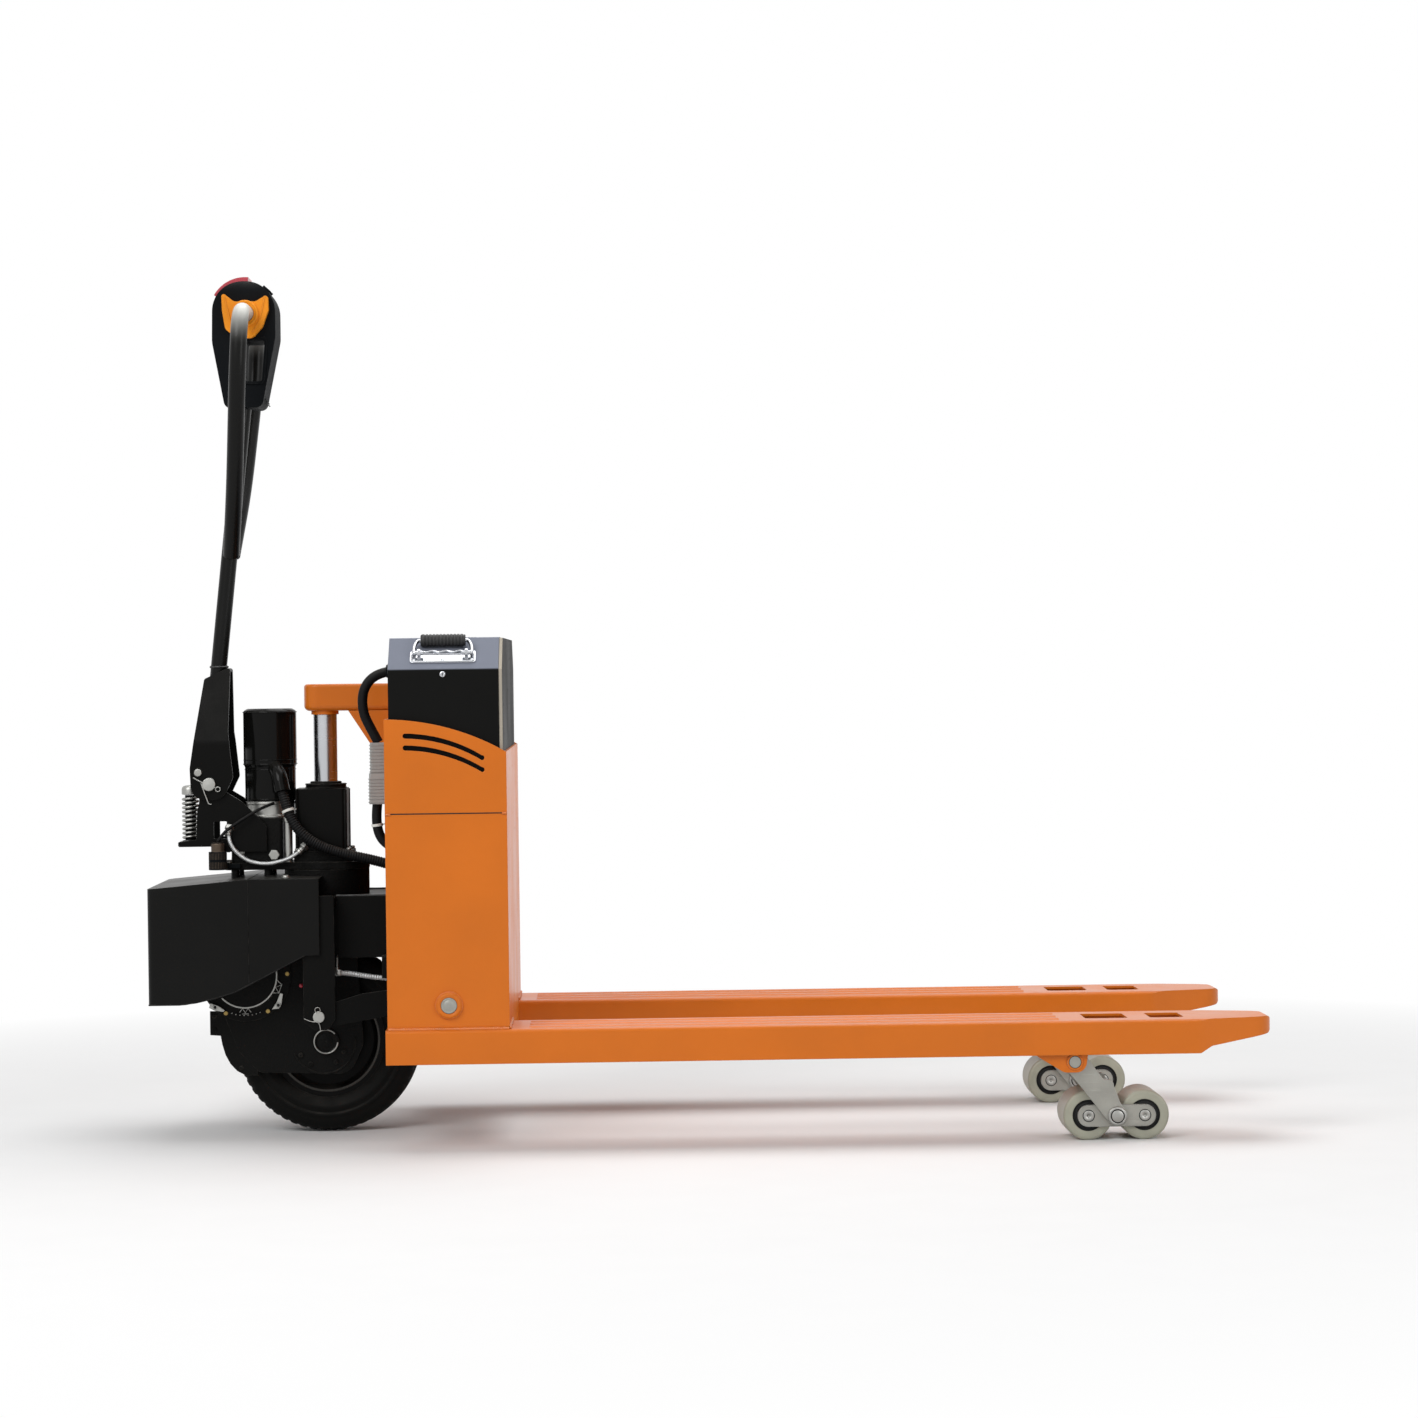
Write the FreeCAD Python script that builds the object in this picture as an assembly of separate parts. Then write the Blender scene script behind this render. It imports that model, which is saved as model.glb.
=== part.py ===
"""Electric pallet truck with a large drive wheel, built from separate parts.

Lengths are in millimetres. +X runs along the forks to their tips, +Y to the
truck's left as the driver faces the forks, +Z up, and the floor is Z = 0.
Heights and X places are first worked out from the drive wheel's axle, and the
whole truck is then shifted so that its origin is under the middle of it.
The forks are modelled raised; the lift joint lowers them.
"""

import FreeCAD, Part
import math
import os

os.makedirs("parts", exist_ok=True)

# ---------------------------------------------------------------- sizes
# Forks
FORK_SPREAD = 685.0          # over both forks
FORK_WIDTH = 160.0
FORK_TOP = 196.0             # raised height of the load faces
FORK_DEPTH = 55.0
FORK_SHEET = 4.0
FORK_ROOT_X = 116.0
FORK_TIP_X = 1542.0
FORK_TIP_DEPTH = 27.0
FORK_TIP_RISE_X = 1421.0     # where the side wall is cut up to the tip
FORK_NOSE_DEPTH = 44.0       # depth of the nose behind that cut
FORK_TIP_HALF = 46.0
FORK_CAVITY_END = 1422.0
BEAD_WIDTH = 16.0
BEAD_HEIGHT = 2.0
BEAD_CROWN = 8.0             # flat top of a bead, which a load rests on
BEAD_PITCH = 44.0
BEAD_START_X = 345.0
BEAD_END_X = 1196.0
WINDOW_WIDTH = 79.0
WINDOWS = ((1240.0, 1309.0), (1345.0, 1400.0))

# Lift
LIFT_TRAVEL = 108.0

# Load rollers
ROLLER_RADIUS = 40.0
ROLLER_WIDTH = 93.0
ROLLER_PITCH = 91.0
ROLLER_BORE = 10.0
YOKE_PIVOT_X = 1219.0
YOKE_PIVOT_Z = 129.0
YOKE_PIN_RADIUS = 10.0
YOKE_ARM_LENGTH = 112.4
YOKE_PLATE = 7.5
YOKE_ROD_ARM = 34.0
BOGIE_PIN_RADIUS = 11.0
BOGIE_LINK_HEIGHT = 35.5
BOGIE_PLATE = 5.5
EAR_RADIUS = 17.0
EAR_PLATE = 8.0
PIN_GAP = 0.06               # radial clearance of a running pin
SIDE_GAP = 0.5               # clearance beside a moving plate

# Tower, battery holder and battery case
TOWER_REAR_X = 119.0
TOWER_FRONT_X = 314.0
TOWER_WIDTH = 670.0
TOWER_SHEET = 5.0
TOWER_SEAM_Z = 541.0
DECK_TOP_Z = 568.0
HOLDER_REAR_TOP_Z = 693.0
HOLDER_FRONT_TOP_Z = 639.0
VENT_WIDTH = 8.0
CASE_REAR_X = 126.0
CASE_FRONT_X = 303.0
CASE_WIDTH = TOWER_WIDTH - 18
CASE_CREASE_Z = 772.0
CASE_TOP_Z = 823.0
CASE_SLOPE_RUN = 62.0
CASE_SHEET = 3.0

# Lift arm and ram
RAM_X = 0.0
RAM_RADIUS = 19.8
ARM_TOP_Z = 750.0
ARM_DEPTH = 45.0
ARM_WIDTH = 62.0
ARM_NOSE = 34.0              # reach of the arm past the ram's axis
RAM_LOW_Z = 505.0

# Drive head
WHEEL_RADIUS = 155.0
WHEEL_WIDTH = 100.0
RIM_RADIUS = 96.0
AXLE_RADIUS = 17.0
BASE_Z = 441.0
BASE_SHEET = 12.0
RING_RADIUS = 71.0
RING_BOTTOM_Z = 398.0
KINGPIN_RADIUS = 45.0
BLOCK_WIDTH = 84.0
BLOCK_BOTTOM_Z = 471.0
BLOCK_TOP_Z = 575.0
COLLAR_TOP_Z = 586.0
PUMP_X = -93.0
PUMP_RADIUS = 43.5
PUMP_TOP_Z = 710.0
PUMP_BOTTOM_Z = 555.0
PUMP_BLOCK_TOP_Z = 527.0
MOTOR_X = -133.0
MOTOR_Z = 266.0
MOTOR_RADIUS = 76.0
HOOD_REAR_X = -284.0
HOOD_HALF = 160.0
HOOD_SHEET = 2.5
HOOD_TOP_Z = 431.0
HOOD_REAR_TOP_Z = 417.0
HOOD_BEND_X = -118.0

# Hangers and rocker
HANGER_OUT_Y = 152.5
HANGER_PLATE = 8.0
LEVER_PLATE = 8.0
HANGER_PIN_X = -5.0
HANGER_PIN_Z = 203.0
HANGER_PIN_RADIUS = 8.0
ROCKER_X = 217.5
ROCKER_Z = 235.0
ROCKER_RADIUS = 12.5
ROCKER_SWING = 27.5          # degrees over the whole lift
ROD_PIN_RADIUS = 6.0
ROD_SLOT_GAP = 0.7           # room round a rod pin, which does not move quite evenly

# Tiller
TILLER_X = -190.0
TILLER_Z = 585.0
TILLER_PIN_RADIUS = 11.0
TILLER_PLATE = 6.0
TILLER_PLATE_Y = 52.5        # inner face of each cheek
GRIP_X = -119.0
GRIP_Z = 1368.5
LOOP_TUBE_RADIUS = 14.0
LOOP_HALF = 150.0
HEAD_HALF = 50.0

ORIGIN_X = (FORK_TIP_X + HOOD_REAR_X) / 2
FORK_Y = (FORK_SPREAD - FORK_WIDTH) / 2
FORK_BOTTOM = FORK_TOP - FORK_DEPTH
LEVER_IN_Y = HANGER_OUT_Y - HANGER_PLATE - SIDE_GAP - LEVER_PLATE


# ---------------------------------------------------------------- helpers
def vec(x, y, z):
    return FreeCAD.Vector(x, y, z)


def box(x0, x1, y0, y1, z0, z1):
    return Part.makeBox(x1 - x0, y1 - y0, z1 - z0, vec(x0, y0, z0))


def cyl_x(y, z, radius, x0, x1):
    return Part.makeCylinder(radius, x1 - x0, vec(x0, y, z), vec(1, 0, 0))


def cyl_y(x, z, radius, y0, y1):
    return Part.makeCylinder(radius, y1 - y0, vec(x, y0, z), vec(0, 1, 0))


def cyl_z(x, y, radius, z0, z1):
    return Part.makeCylinder(radius, z1 - z0, vec(x, y, z0), vec(0, 0, 1))


def rounded_wire(points, place):
    """A closed wire through corners (a, b, radius), each with its own rounding.

    place turns a pair (a, b) into a 3-D point."""
    n = len(points)
    ends = []
    for i in range(n):
        a = FreeCAD.Vector(points[i - 1][0], points[i - 1][1], 0)
        b = FreeCAD.Vector(points[i][0], points[i][1], 0)
        c = FreeCAD.Vector(points[(i + 1) % n][0], points[(i + 1) % n][1], 0)
        radius = points[i][2] if len(points[i]) > 2 else 0.0
        if radius <= 0:
            ends.append((b, None, b))
            continue
        u = (a - b).normalize()
        v = (c - b).normalize()
        half = u.getAngle(v) / 2
        run = radius / math.tan(half)
        bisect = (u + v).normalize()
        mid = b + bisect * (radius / math.sin(half) - radius)
        ends.append((b + u * run, mid, b + v * run))
    edges = []
    for i in range(n):
        first, mid, last = ends[i]
        if mid is not None:
            edges.append(Part.Arc(place(first), place(mid), place(last)).toShape())
        following = ends[(i + 1) % n][0]
        if (following - last).Length > 1e-6:
            edges.append(Part.LineSegment(place(last), place(following)).toShape())
    return Part.Wire(edges)


def plate_y(points, y0, y1):
    """A plate with an outline in X and Z, from y0 to y1."""
    wire = rounded_wire(points, lambda p: vec(p.x, y0, p.y))
    return Part.Face(wire).extrude(vec(0, y1 - y0, 0))


def plate_z(points, z0, z1):
    """A plate with an outline in X and Y, from z0 to z1."""
    wire = rounded_wire(points, lambda p: vec(p.x, p.y, z0))
    return Part.Face(wire).extrude(vec(0, 0, z1 - z0))


def plate_x(points, x0, x1):
    """A plate with an outline in Y and Z, from x0 to x1."""
    wire = rounded_wire(points, lambda p: vec(x0, p.x, p.y))
    return Part.Face(wire).extrude(vec(x1 - x0, 0, 0))


def block(x0, x1, y0, y1, z0, z1, radius):
    """A box whose upright edges are rounded."""
    corners = [(x0, y0, radius), (x1, y0, radius), (x1, y1, radius), (x0, y1, radius)]
    return plate_z(corners, z0, z1)


def mirrored(shape):
    return shape.mirror(vec(0, 0, 0), vec(0, 1, 0))


def both_sides(shape):
    return [shape, mirrored(shape)]


def tube(points, radius, bend=None):
    """A round bar along points: straight runs joined by tangent arcs.

    Without a bend radius each arc takes 0.45 of its shorter run."""
    path = []
    start = points[0]
    for i in range(1, len(points) - 1):
        a, b, c = points[i - 1], points[i], points[i + 1]
        into, out = (b - a), (c - b)
        turn = into.getAngle(out)
        reach = 0.45 * min(into.Length, out.Length)
        if bend is not None:
            reach = min(reach, bend * math.tan(turn / 2))
        arc_radius = reach / math.tan(turn / 2)
        u, v = (a - b).normalize(), (c - b).normalize()
        first, last = b + u * reach, b + v * reach
        bisect = (u + v).normalize()
        mid = b + bisect * (arc_radius / math.cos(turn / 2) - arc_radius)
        path.append(Part.LineSegment(start, first).toShape())
        path.append(Part.Arc(first, mid, last).toShape())
        start = last
    path.append(Part.LineSegment(start, points[-1]).toShape())
    spine = Part.Wire(path)
    along = (points[1] - points[0]).normalize()
    circle = Part.Wire(Part.Circle(points[0], along, radius).toShape())
    return spine.makePipeShell([circle], True, False)


def turned(shape, x, z, degrees):
    """The shape turned about a Y line through (x, z), from +X towards +Z."""
    copy = shape.copy()
    copy.rotate(vec(x, 0, z), vec(0, -1, 0), degrees)
    return copy


def revolved_z(points, x, y):
    """A solid of revolution about an upright axis from (radius, z) corners."""
    face = Part.Face(rounded_wire(points, lambda p: vec(x + p.x, y, p.y)))
    return face.revolve(vec(x, y, 0), vec(0, 0, 1), 360)


def revolved_y(points, x, z):
    """A solid of revolution about a Y axis from (radius, y) corners."""
    face = Part.Face(rounded_wire(points, lambda p: vec(x + p.x, p.y, z)))
    return face.revolve(vec(x, 0, z), vec(0, 1, 0), 360)


def fused(first, *others):
    shape = first.fuse(list(others)) if others else first
    return shape.removeSplitter()


def write(name, *solids):
    """One STEP file for one part, shifted to the truck's own origin."""
    shape = solids[0] if len(solids) == 1 else Part.makeCompound(list(solids))
    shape = shape.copy()
    shape.translate(vec(-ORIGIN_X, 0, 0))
    shape.exportStep("parts/" + name + ".step")


# ---------------------------------------------------------------- forks
def fork():
    """One fork as an inverted channel with a solid tip, about its own middle."""
    half = FORK_WIDTH / 2
    profile = [
        (FORK_ROOT_X, FORK_BOTTOM),
        (FORK_TIP_RISE_X, FORK_BOTTOM, 4),
        (FORK_TIP_RISE_X + 18, FORK_TOP - FORK_NOSE_DEPTH, 14),
        (FORK_TIP_X, FORK_TOP - FORK_TIP_DEPTH, 10),
        (FORK_TIP_X, FORK_TOP, 9),
        (FORK_ROOT_X, FORK_TOP),
    ]
    plan = [
        (FORK_ROOT_X, -half),
        (FORK_CAVITY_END, -half, 60),
        (FORK_TIP_X, -FORK_TIP_HALF, 40),
        (FORK_TIP_X, FORK_TIP_HALF, 40),
        (FORK_CAVITY_END, half, 60),
        (FORK_ROOT_X, half),
    ]
    section = [
        (-half, FORK_BOTTOM),
        (half, FORK_BOTTOM),
        (half, FORK_TOP, 6),
        (-half, FORK_TOP, 6),
    ]
    shell = plate_y(profile, -half, half)
    shell = shell.common(plate_z(plan, FORK_BOTTOM, FORK_TOP))
    shell = shell.common(plate_x(section, FORK_ROOT_X, FORK_TIP_X))
    inner = half - FORK_SHEET
    hollow = box(
        FORK_ROOT_X - 1, FORK_CAVITY_END, -inner, inner, FORK_BOTTOM - 1, FORK_TOP - FORK_SHEET
    )
    crank_slot = block(
        ROCKER_X - 28, ROCKER_X + 28, -11, 11, FORK_TOP - FORK_SHEET - 1, FORK_TOP + 1, 10
    )
    shell = shell.cut(hollow).cut(crank_slot)
    for x0, x1 in WINDOWS:
        edge = WINDOW_WIDTH / 2
        shell = shell.cut(block(x0, x1, -edge, edge, FORK_TOP - 20, FORK_TOP + 1, 7))
    beads = [bead(i * BEAD_PITCH) for i in (-1, 0, 1)]
    return fused(shell, *beads)


def bead(y):
    """One long shallow bead pressed up in the load face."""
    foot, crown = BEAD_WIDTH / 2, BEAD_CROWN / 2
    top = FORK_TOP + BEAD_HEIGHT
    section = [(y - foot, FORK_TOP), (y + foot, FORK_TOP), (y + crown, top, 3), (y - crown, top, 3)]
    return plate_x(section, BEAD_START_X, BEAD_END_X)


def placed(shape, y):
    copy = shape.copy()
    copy.translate(vec(0, y, 0))
    return copy


YOKE_OUT_Y = ROLLER_WIDTH / 2 + SIDE_GAP + BOGIE_PLATE + SIDE_GAP + YOKE_PLATE
EAR_IN_Y = YOKE_OUT_Y + SIDE_GAP


def ear():
    """One bracket plate that hangs inside a fork and carries the yoke's pin."""
    low = YOKE_PIVOT_Z - EAR_RADIUS
    seat = FORK_TOP - FORK_SHEET
    outline = [
        (YOKE_PIVOT_X - 61, seat),
        (YOKE_PIVOT_X - 61, FORK_BOTTOM - 2, 5),
        (YOKE_PIVOT_X - EAR_RADIUS, low, EAR_RADIUS),
        (YOKE_PIVOT_X + EAR_RADIUS, low, EAR_RADIUS),
        (YOKE_PIVOT_X + 21, FORK_BOTTOM - 2, 5),
        (YOKE_PIVOT_X + 21, seat),
    ]
    plate = plate_y(outline, EAR_IN_Y, EAR_IN_Y + EAR_PLATE)
    bore = cyl_y(
        YOKE_PIVOT_X, YOKE_PIVOT_Z, YOKE_PIN_RADIUS + PIN_GAP, EAR_IN_Y - 1, EAR_IN_Y + EAR_PLATE + 1
    )
    return plate.cut(bore)


def yoke_pin():
    """The pin through both ears of a fork, with a flat head at each end."""
    reach = EAR_IN_Y + EAR_PLATE
    pin = cyl_y(YOKE_PIVOT_X, YOKE_PIVOT_Z, YOKE_PIN_RADIUS, -reach, reach)
    head = cyl_y(YOKE_PIVOT_X, YOKE_PIVOT_Z, YOKE_PIN_RADIUS + 2.5, reach, reach + 2.5)
    return fused(pin, *both_sides(head))


def make_forks():
    shell = fork()
    write("fork_left", placed(shell, FORK_Y))
    write("fork_right", placed(shell, -FORK_Y))
    ears = []
    pins = []
    for y in (-FORK_Y, FORK_Y):
        ears += [placed(part, y) for part in both_sides(ear())]
        pins.append(placed(yoke_pin(), y))
    write("roller_brackets", *ears)
    write("yoke_pins", *pins)


# ---------------------------------------------------------------- tower
def arc_slot(start, middle, end, half, y0, y1):
    """A curved slot with round ends, cut along Y."""
    def at(p, dx, dz):
        return vec(p[0] + dx, y0, p[1] + dz)

    edges = [
        Part.Arc(at(start, 0, half), at(middle, 0, half), at(end, 0, half)).toShape(),
        Part.Arc(at(end, 0, half), at(end, half, 0), at(end, 0, -half)).toShape(),
        Part.Arc(at(end, 0, -half), at(middle, 0, -half), at(start, 0, -half)).toShape(),
        Part.Arc(at(start, 0, -half), at(start, -half, 0), at(start, 0, half)).toShape(),
    ]
    return Part.Face(Part.Wire(edges)).extrude(vec(0, y1 - y0, 0))


TOWER_Y = TOWER_WIDTH / 2
TOWER_IN_Y = TOWER_Y - TOWER_SHEET
BOSS_RADIUS = 20.0
BOSS_LENGTH = 6.0


def tower_side():
    """One side plate of the tower with its rear lip and the rocker boss."""
    plate = box(TOWER_REAR_X, TOWER_FRONT_X, TOWER_IN_Y, TOWER_Y, FORK_TOP, TOWER_SEAM_Z)
    lip = box(TOWER_REAR_X, TOWER_REAR_X + 5, TOWER_IN_Y - 22, TOWER_IN_Y, FORK_TOP, TOWER_SEAM_Z)
    boss = cyl_y(ROCKER_X, ROCKER_Z, BOSS_RADIUS, TOWER_IN_Y - 14, TOWER_Y + BOSS_LENGTH)
    bore = cyl_y(
        ROCKER_X, ROCKER_Z, ROCKER_RADIUS + PIN_GAP, TOWER_IN_Y - 15, TOWER_Y + BOSS_LENGTH + 1
    )
    return fused(plate, lip, boss).cut(bore)


def make_tower():
    between = FORK_Y - FORK_WIDTH / 2
    front = plate_x(
        [
            (-TOWER_IN_Y, TOWER_SEAM_Z),
            (-TOWER_IN_Y, FORK_TOP),
            (-between, FORK_TOP),
            (-between, FORK_BOTTOM + 6),
            (between, FORK_BOTTOM + 6),
            (between, FORK_TOP),
            (TOWER_IN_Y, FORK_TOP),
            (TOWER_IN_Y, TOWER_SEAM_Z),
        ],
        TOWER_FRONT_X - TOWER_SHEET,
        TOWER_FRONT_X,
    )
    sill = box(
        TOWER_FRONT_X - 62,
        TOWER_FRONT_X - TOWER_SHEET,
        -between,
        between,
        FORK_BOTTOM + 6,
        FORK_BOTTOM + 12,
    )
    write("tower_frame", fused(front, sill, *both_sides(tower_side())))


def make_holder():
    """The open holder above the seam, which the battery case stands in."""
    top = [
        Part.Arc(
            vec(TOWER_FRONT_X, TOWER_IN_Y, HOLDER_FRONT_TOP_Z),
            vec((TOWER_REAR_X + TOWER_FRONT_X) / 2 + 6, TOWER_IN_Y, HOLDER_REAR_TOP_Z - 15),
            vec(TOWER_REAR_X, TOWER_IN_Y, HOLDER_REAR_TOP_Z),
        ).toShape()
    ]
    low_rear = vec(TOWER_REAR_X, TOWER_IN_Y, TOWER_SEAM_Z)
    low_front = vec(TOWER_FRONT_X, TOWER_IN_Y, TOWER_SEAM_Z)
    high_rear = vec(TOWER_REAR_X, TOWER_IN_Y, HOLDER_REAR_TOP_Z)
    high_front = vec(TOWER_FRONT_X, TOWER_IN_Y, HOLDER_FRONT_TOP_Z)
    edges = top + [
        Part.LineSegment(high_rear, low_rear).toShape(),
        Part.LineSegment(low_rear, low_front).toShape(),
        Part.LineSegment(low_front, high_front).toShape(),
    ]
    panel = Part.Face(Part.Wire(edges)).extrude(vec(0, TOWER_SHEET, 0))
    for drop in (27.0, 46.0):
        start = (TOWER_REAR_X + 34, HOLDER_REAR_TOP_Z - drop)
        middle = (TOWER_REAR_X + 98, HOLDER_REAR_TOP_Z - drop - 10)
        end = (TOWER_REAR_X + 156, HOLDER_REAR_TOP_Z - drop - 36)
        panel = panel.cut(
            arc_slot(start, middle, end, VENT_WIDTH / 2, TOWER_IN_Y - 1, TOWER_Y + 1)
        )
    rear = plate_x(
        [
            (-TOWER_IN_Y, TOWER_SEAM_Z),
            (TOWER_IN_Y, TOWER_SEAM_Z),
            (TOWER_IN_Y, HOLDER_REAR_TOP_Z),
            (ARM_WIDTH + 10, HOLDER_REAR_TOP_Z, 12),
            (ARM_WIDTH / 2 + 8, ARM_TOP_Z, 10),
            (-ARM_WIDTH / 2 - 8, ARM_TOP_Z, 10),
            (-ARM_WIDTH - 10, HOLDER_REAR_TOP_Z, 12),
            (-TOWER_IN_Y, HOLDER_REAR_TOP_Z),
        ],
        TOWER_REAR_X,
        TOWER_REAR_X + TOWER_SHEET,
    )
    front = box(
        TOWER_FRONT_X - TOWER_SHEET,
        TOWER_FRONT_X,
        -TOWER_IN_Y,
        TOWER_IN_Y,
        TOWER_SEAM_Z,
        HOLDER_FRONT_TOP_Z,
    )
    deck = box(
        TOWER_REAR_X + TOWER_SHEET,
        TOWER_FRONT_X - TOWER_SHEET,
        -TOWER_IN_Y,
        TOWER_IN_Y,
        DECK_TOP_Z - TOWER_SHEET,
        DECK_TOP_Z,
    )
    bracket = box(PLUG_X + 15, TOWER_REAR_X, LEAD_Y - 14, LEAD_Y + 14, PLUG_BOTTOM + 15, PLUG_TOP - 60)
    write("battery_holder", fused(rear, front, deck, bracket, *both_sides(panel)))


# ---------------------------------------------------------------- battery
CASE_Y = CASE_WIDTH / 2
CASE_SLOPE = math.degrees(math.atan2(CASE_TOP_Z - CASE_CREASE_Z, CASE_SLOPE_RUN))
HANDLE_X = (CASE_REAR_X + CASE_FRONT_X) / 2 - 1
HANDLE_BASE = 105.0
HANDLE_SPAN = 76.0
HANDLE_PIVOT_S = 31.0
HANDLE_PIVOT_N = 9.0
HANDLE_PIN_RADIUS = 3.2
GRIP_RADIUS = 12.0
KNUCKLE_WIDTH = 4.8
BAIL_OFFSET = 8.0
KNUCKLE_RADIUS = 6.5
GRIP_LENGTH = 66.0


def case_section(inset):
    """The case's end outline, drawn in by inset."""
    y = CASE_Y - inset
    top = CASE_TOP_Z - inset
    shoulder = CASE_Y - CASE_SLOPE_RUN - inset * 0.36
    crease = CASE_CREASE_Z - inset * 0.36
    low = DECK_TOP_Z + inset
    ease = max(4.0 - inset, 1.0)
    return [
        (-y, low),
        (y, low),
        (y, crease, ease),
        (shoulder, top, ease),
        (-shoulder, top, ease),
        (-y, crease, ease),
    ]


CELLS = 4
CELL_MARGIN = 12.0
CELL_GAP = 2.0


def make_battery():
    shell = plate_x(case_section(0), CASE_REAR_X, CASE_FRONT_X)
    hollow = plate_x(
        case_section(CASE_SHEET), CASE_REAR_X + CASE_SHEET, CASE_FRONT_X - CASE_SHEET
    )
    gland_hole = cyl_x(LEAD_Y, LEAD_Z, LEAD_RADIUS + 2.5, CASE_REAR_X - 1, CASE_REAR_X + 4)
    write("battery_case", shell.cut(hollow).cut(gland_hole))
    strip_end = TOWER_FRONT_X - TOWER_SHEET - 0.5
    write("case_end_strip", plate_x(case_section(1.2), CASE_FRONT_X, strip_end))
    cells = []
    low = DECK_TOP_Z + CASE_SHEET
    high = CASE_CREASE_Z - 11
    pitch = (2 * CASE_Y - 2 * CELL_MARGIN) / CELLS
    for i in range(CELLS):
        y0 = -CASE_Y + CELL_MARGIN + i * pitch
        rear, front = CASE_REAR_X + CELL_MARGIN, CASE_FRONT_X - CELL_MARGIN
        cells.append(block(rear, front, y0, y0 + pitch - CELL_GAP, low, high, 5))
    write("battery_cells", *cells)


def on_slope(shape):
    """A shape drawn flat, with Y up the slope and Z out of it, laid on the case."""
    copy = shape.copy()
    copy.rotate(vec(0, 0, 0), vec(1, 0, 0), CASE_SLOPE)
    copy.translate(vec(0, -CASE_Y, CASE_CREASE_Z))
    return copy


def handle_base():
    half = HANDLE_BASE / 2
    low, high = HANDLE_PIVOT_S - 16, HANDLE_PIVOT_S + 14
    plate = block(HANDLE_X - half, HANDLE_X + half, low, high, 0, 2, 5)
    ears = []
    for side in (-1, 1):
        x = HANDLE_X + side * HANDLE_SPAN / 2
        x0, x1 = x - KNUCKLE_WIDTH / 2, x + KNUCKLE_WIDTH / 2
        s0, s1 = HANDLE_PIVOT_S - KNUCKLE_RADIUS, HANDLE_PIVOT_S + KNUCKLE_RADIUS
        knuckle = cyl_x(HANDLE_PIVOT_S, HANDLE_PIVOT_N, KNUCKLE_RADIUS, x0, x1)
        foot = box(x0, x1, s0, s1, 1, HANDLE_PIVOT_N)
        bore = cyl_x(HANDLE_PIVOT_S, HANDLE_PIVOT_N, HANDLE_PIN_RADIUS + PIN_GAP, x0 - 1, x1 + 1)
        ears.append(knuckle.fuse(foot).cut(bore))
    return on_slope(fused(plate, *ears))


def handle_bail():
    """The wire bail, whose ends turn inwards through the base's knuckles."""
    half = HANDLE_SPAN / 2
    s0, n0 = HANDLE_PIVOT_S, HANDLE_PIVOT_N
    s1, n1 = s0 + 30, n0 + 6
    wide = half + BAIL_OFFSET
    points = [
        vec(HANDLE_X - half + 5, s0, n0),
        vec(HANDLE_X - wide, s0, n0),
        vec(HANDLE_X - wide, s0 + 15, n0 + 3),
        vec(HANDLE_X - half + 2, s1, n1),
        vec(HANDLE_X + half - 2, s1, n1),
        vec(HANDLE_X + wide, s0 + 15, n0 + 3),
        vec(HANDLE_X + wide, s0, n0),
        vec(HANDLE_X + half - 5, s0, n0),
    ]
    return on_slope(tube(points, HANDLE_PIN_RADIUS))


def handle_grip():
    s1, n1 = HANDLE_PIVOT_S + 30, HANDLE_PIVOT_N + 6
    x0 = HANDLE_X - GRIP_LENGTH / 2
    grip = cyl_x(s1, n1, GRIP_RADIUS, x0, x0 + GRIP_LENGTH)
    bore = cyl_x(s1, n1, HANDLE_PIN_RADIUS, x0 - 1, x0 + GRIP_LENGTH + 1)
    return on_slope(grip.cut(bore))


def make_handles():
    base, bail, grip = handle_base(), handle_bail(), handle_grip()
    lock = cyl_y(HANDLE_X, CASE_CREASE_Z - 8, 4.3, CASE_Y, CASE_Y + 2.5)
    write("case_fittings", *both_sides(base), *both_sides(lock))
    for name, turn in (("right", False), ("left", True)):
        parts = [mirrored(p) if turn else p for p in (bail, grip)]
        write("case_handle_" + name, *parts)


# ---------------------------------------------------------------- lift arm and leads
LEAD_RADIUS = 8.0
LEAD_Y = 135 - TOWER_WIDTH / 2
LEAD_Z = 770.0
LEAD_ROUTE = (
    (CASE_REAR_X, LEAD_Y, LEAD_Z),
    (CASE_REAR_X - 24, LEAD_Y, LEAD_Z - 2),
    (CASE_REAR_X - 48, LEAD_Y, LEAD_Z - 26),
    (CASE_REAR_X - 50, LEAD_Y, LEAD_Z - 64),
    (CASE_REAR_X - 36, LEAD_Y, LEAD_Z - 94),
    (CASE_REAR_X - 24, LEAD_Y, LEAD_Z - 116),
)
PLUG_X = 102.0
PLUG_TOP = LEAD_Z - 116.0
PLUG_BOTTOM = 554.0
LOWER_ROUTE = (
    (PLUG_X - 3, LEAD_Y, PLUG_BOTTOM),
    (PLUG_X - 7, LEAD_Y, PLUG_BOTTOM - 32),
    (PLUG_X + 6, LEAD_Y, PLUG_BOTTOM - 66),
    (PLUG_X + 50, LEAD_Y, PLUG_BOTTOM - 82),
    (PLUG_X + 100, LEAD_Y, PLUG_BOTTOM - 84),
    (258.0, LEAD_Y, PLUG_BOTTOM - 80),
)


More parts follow.
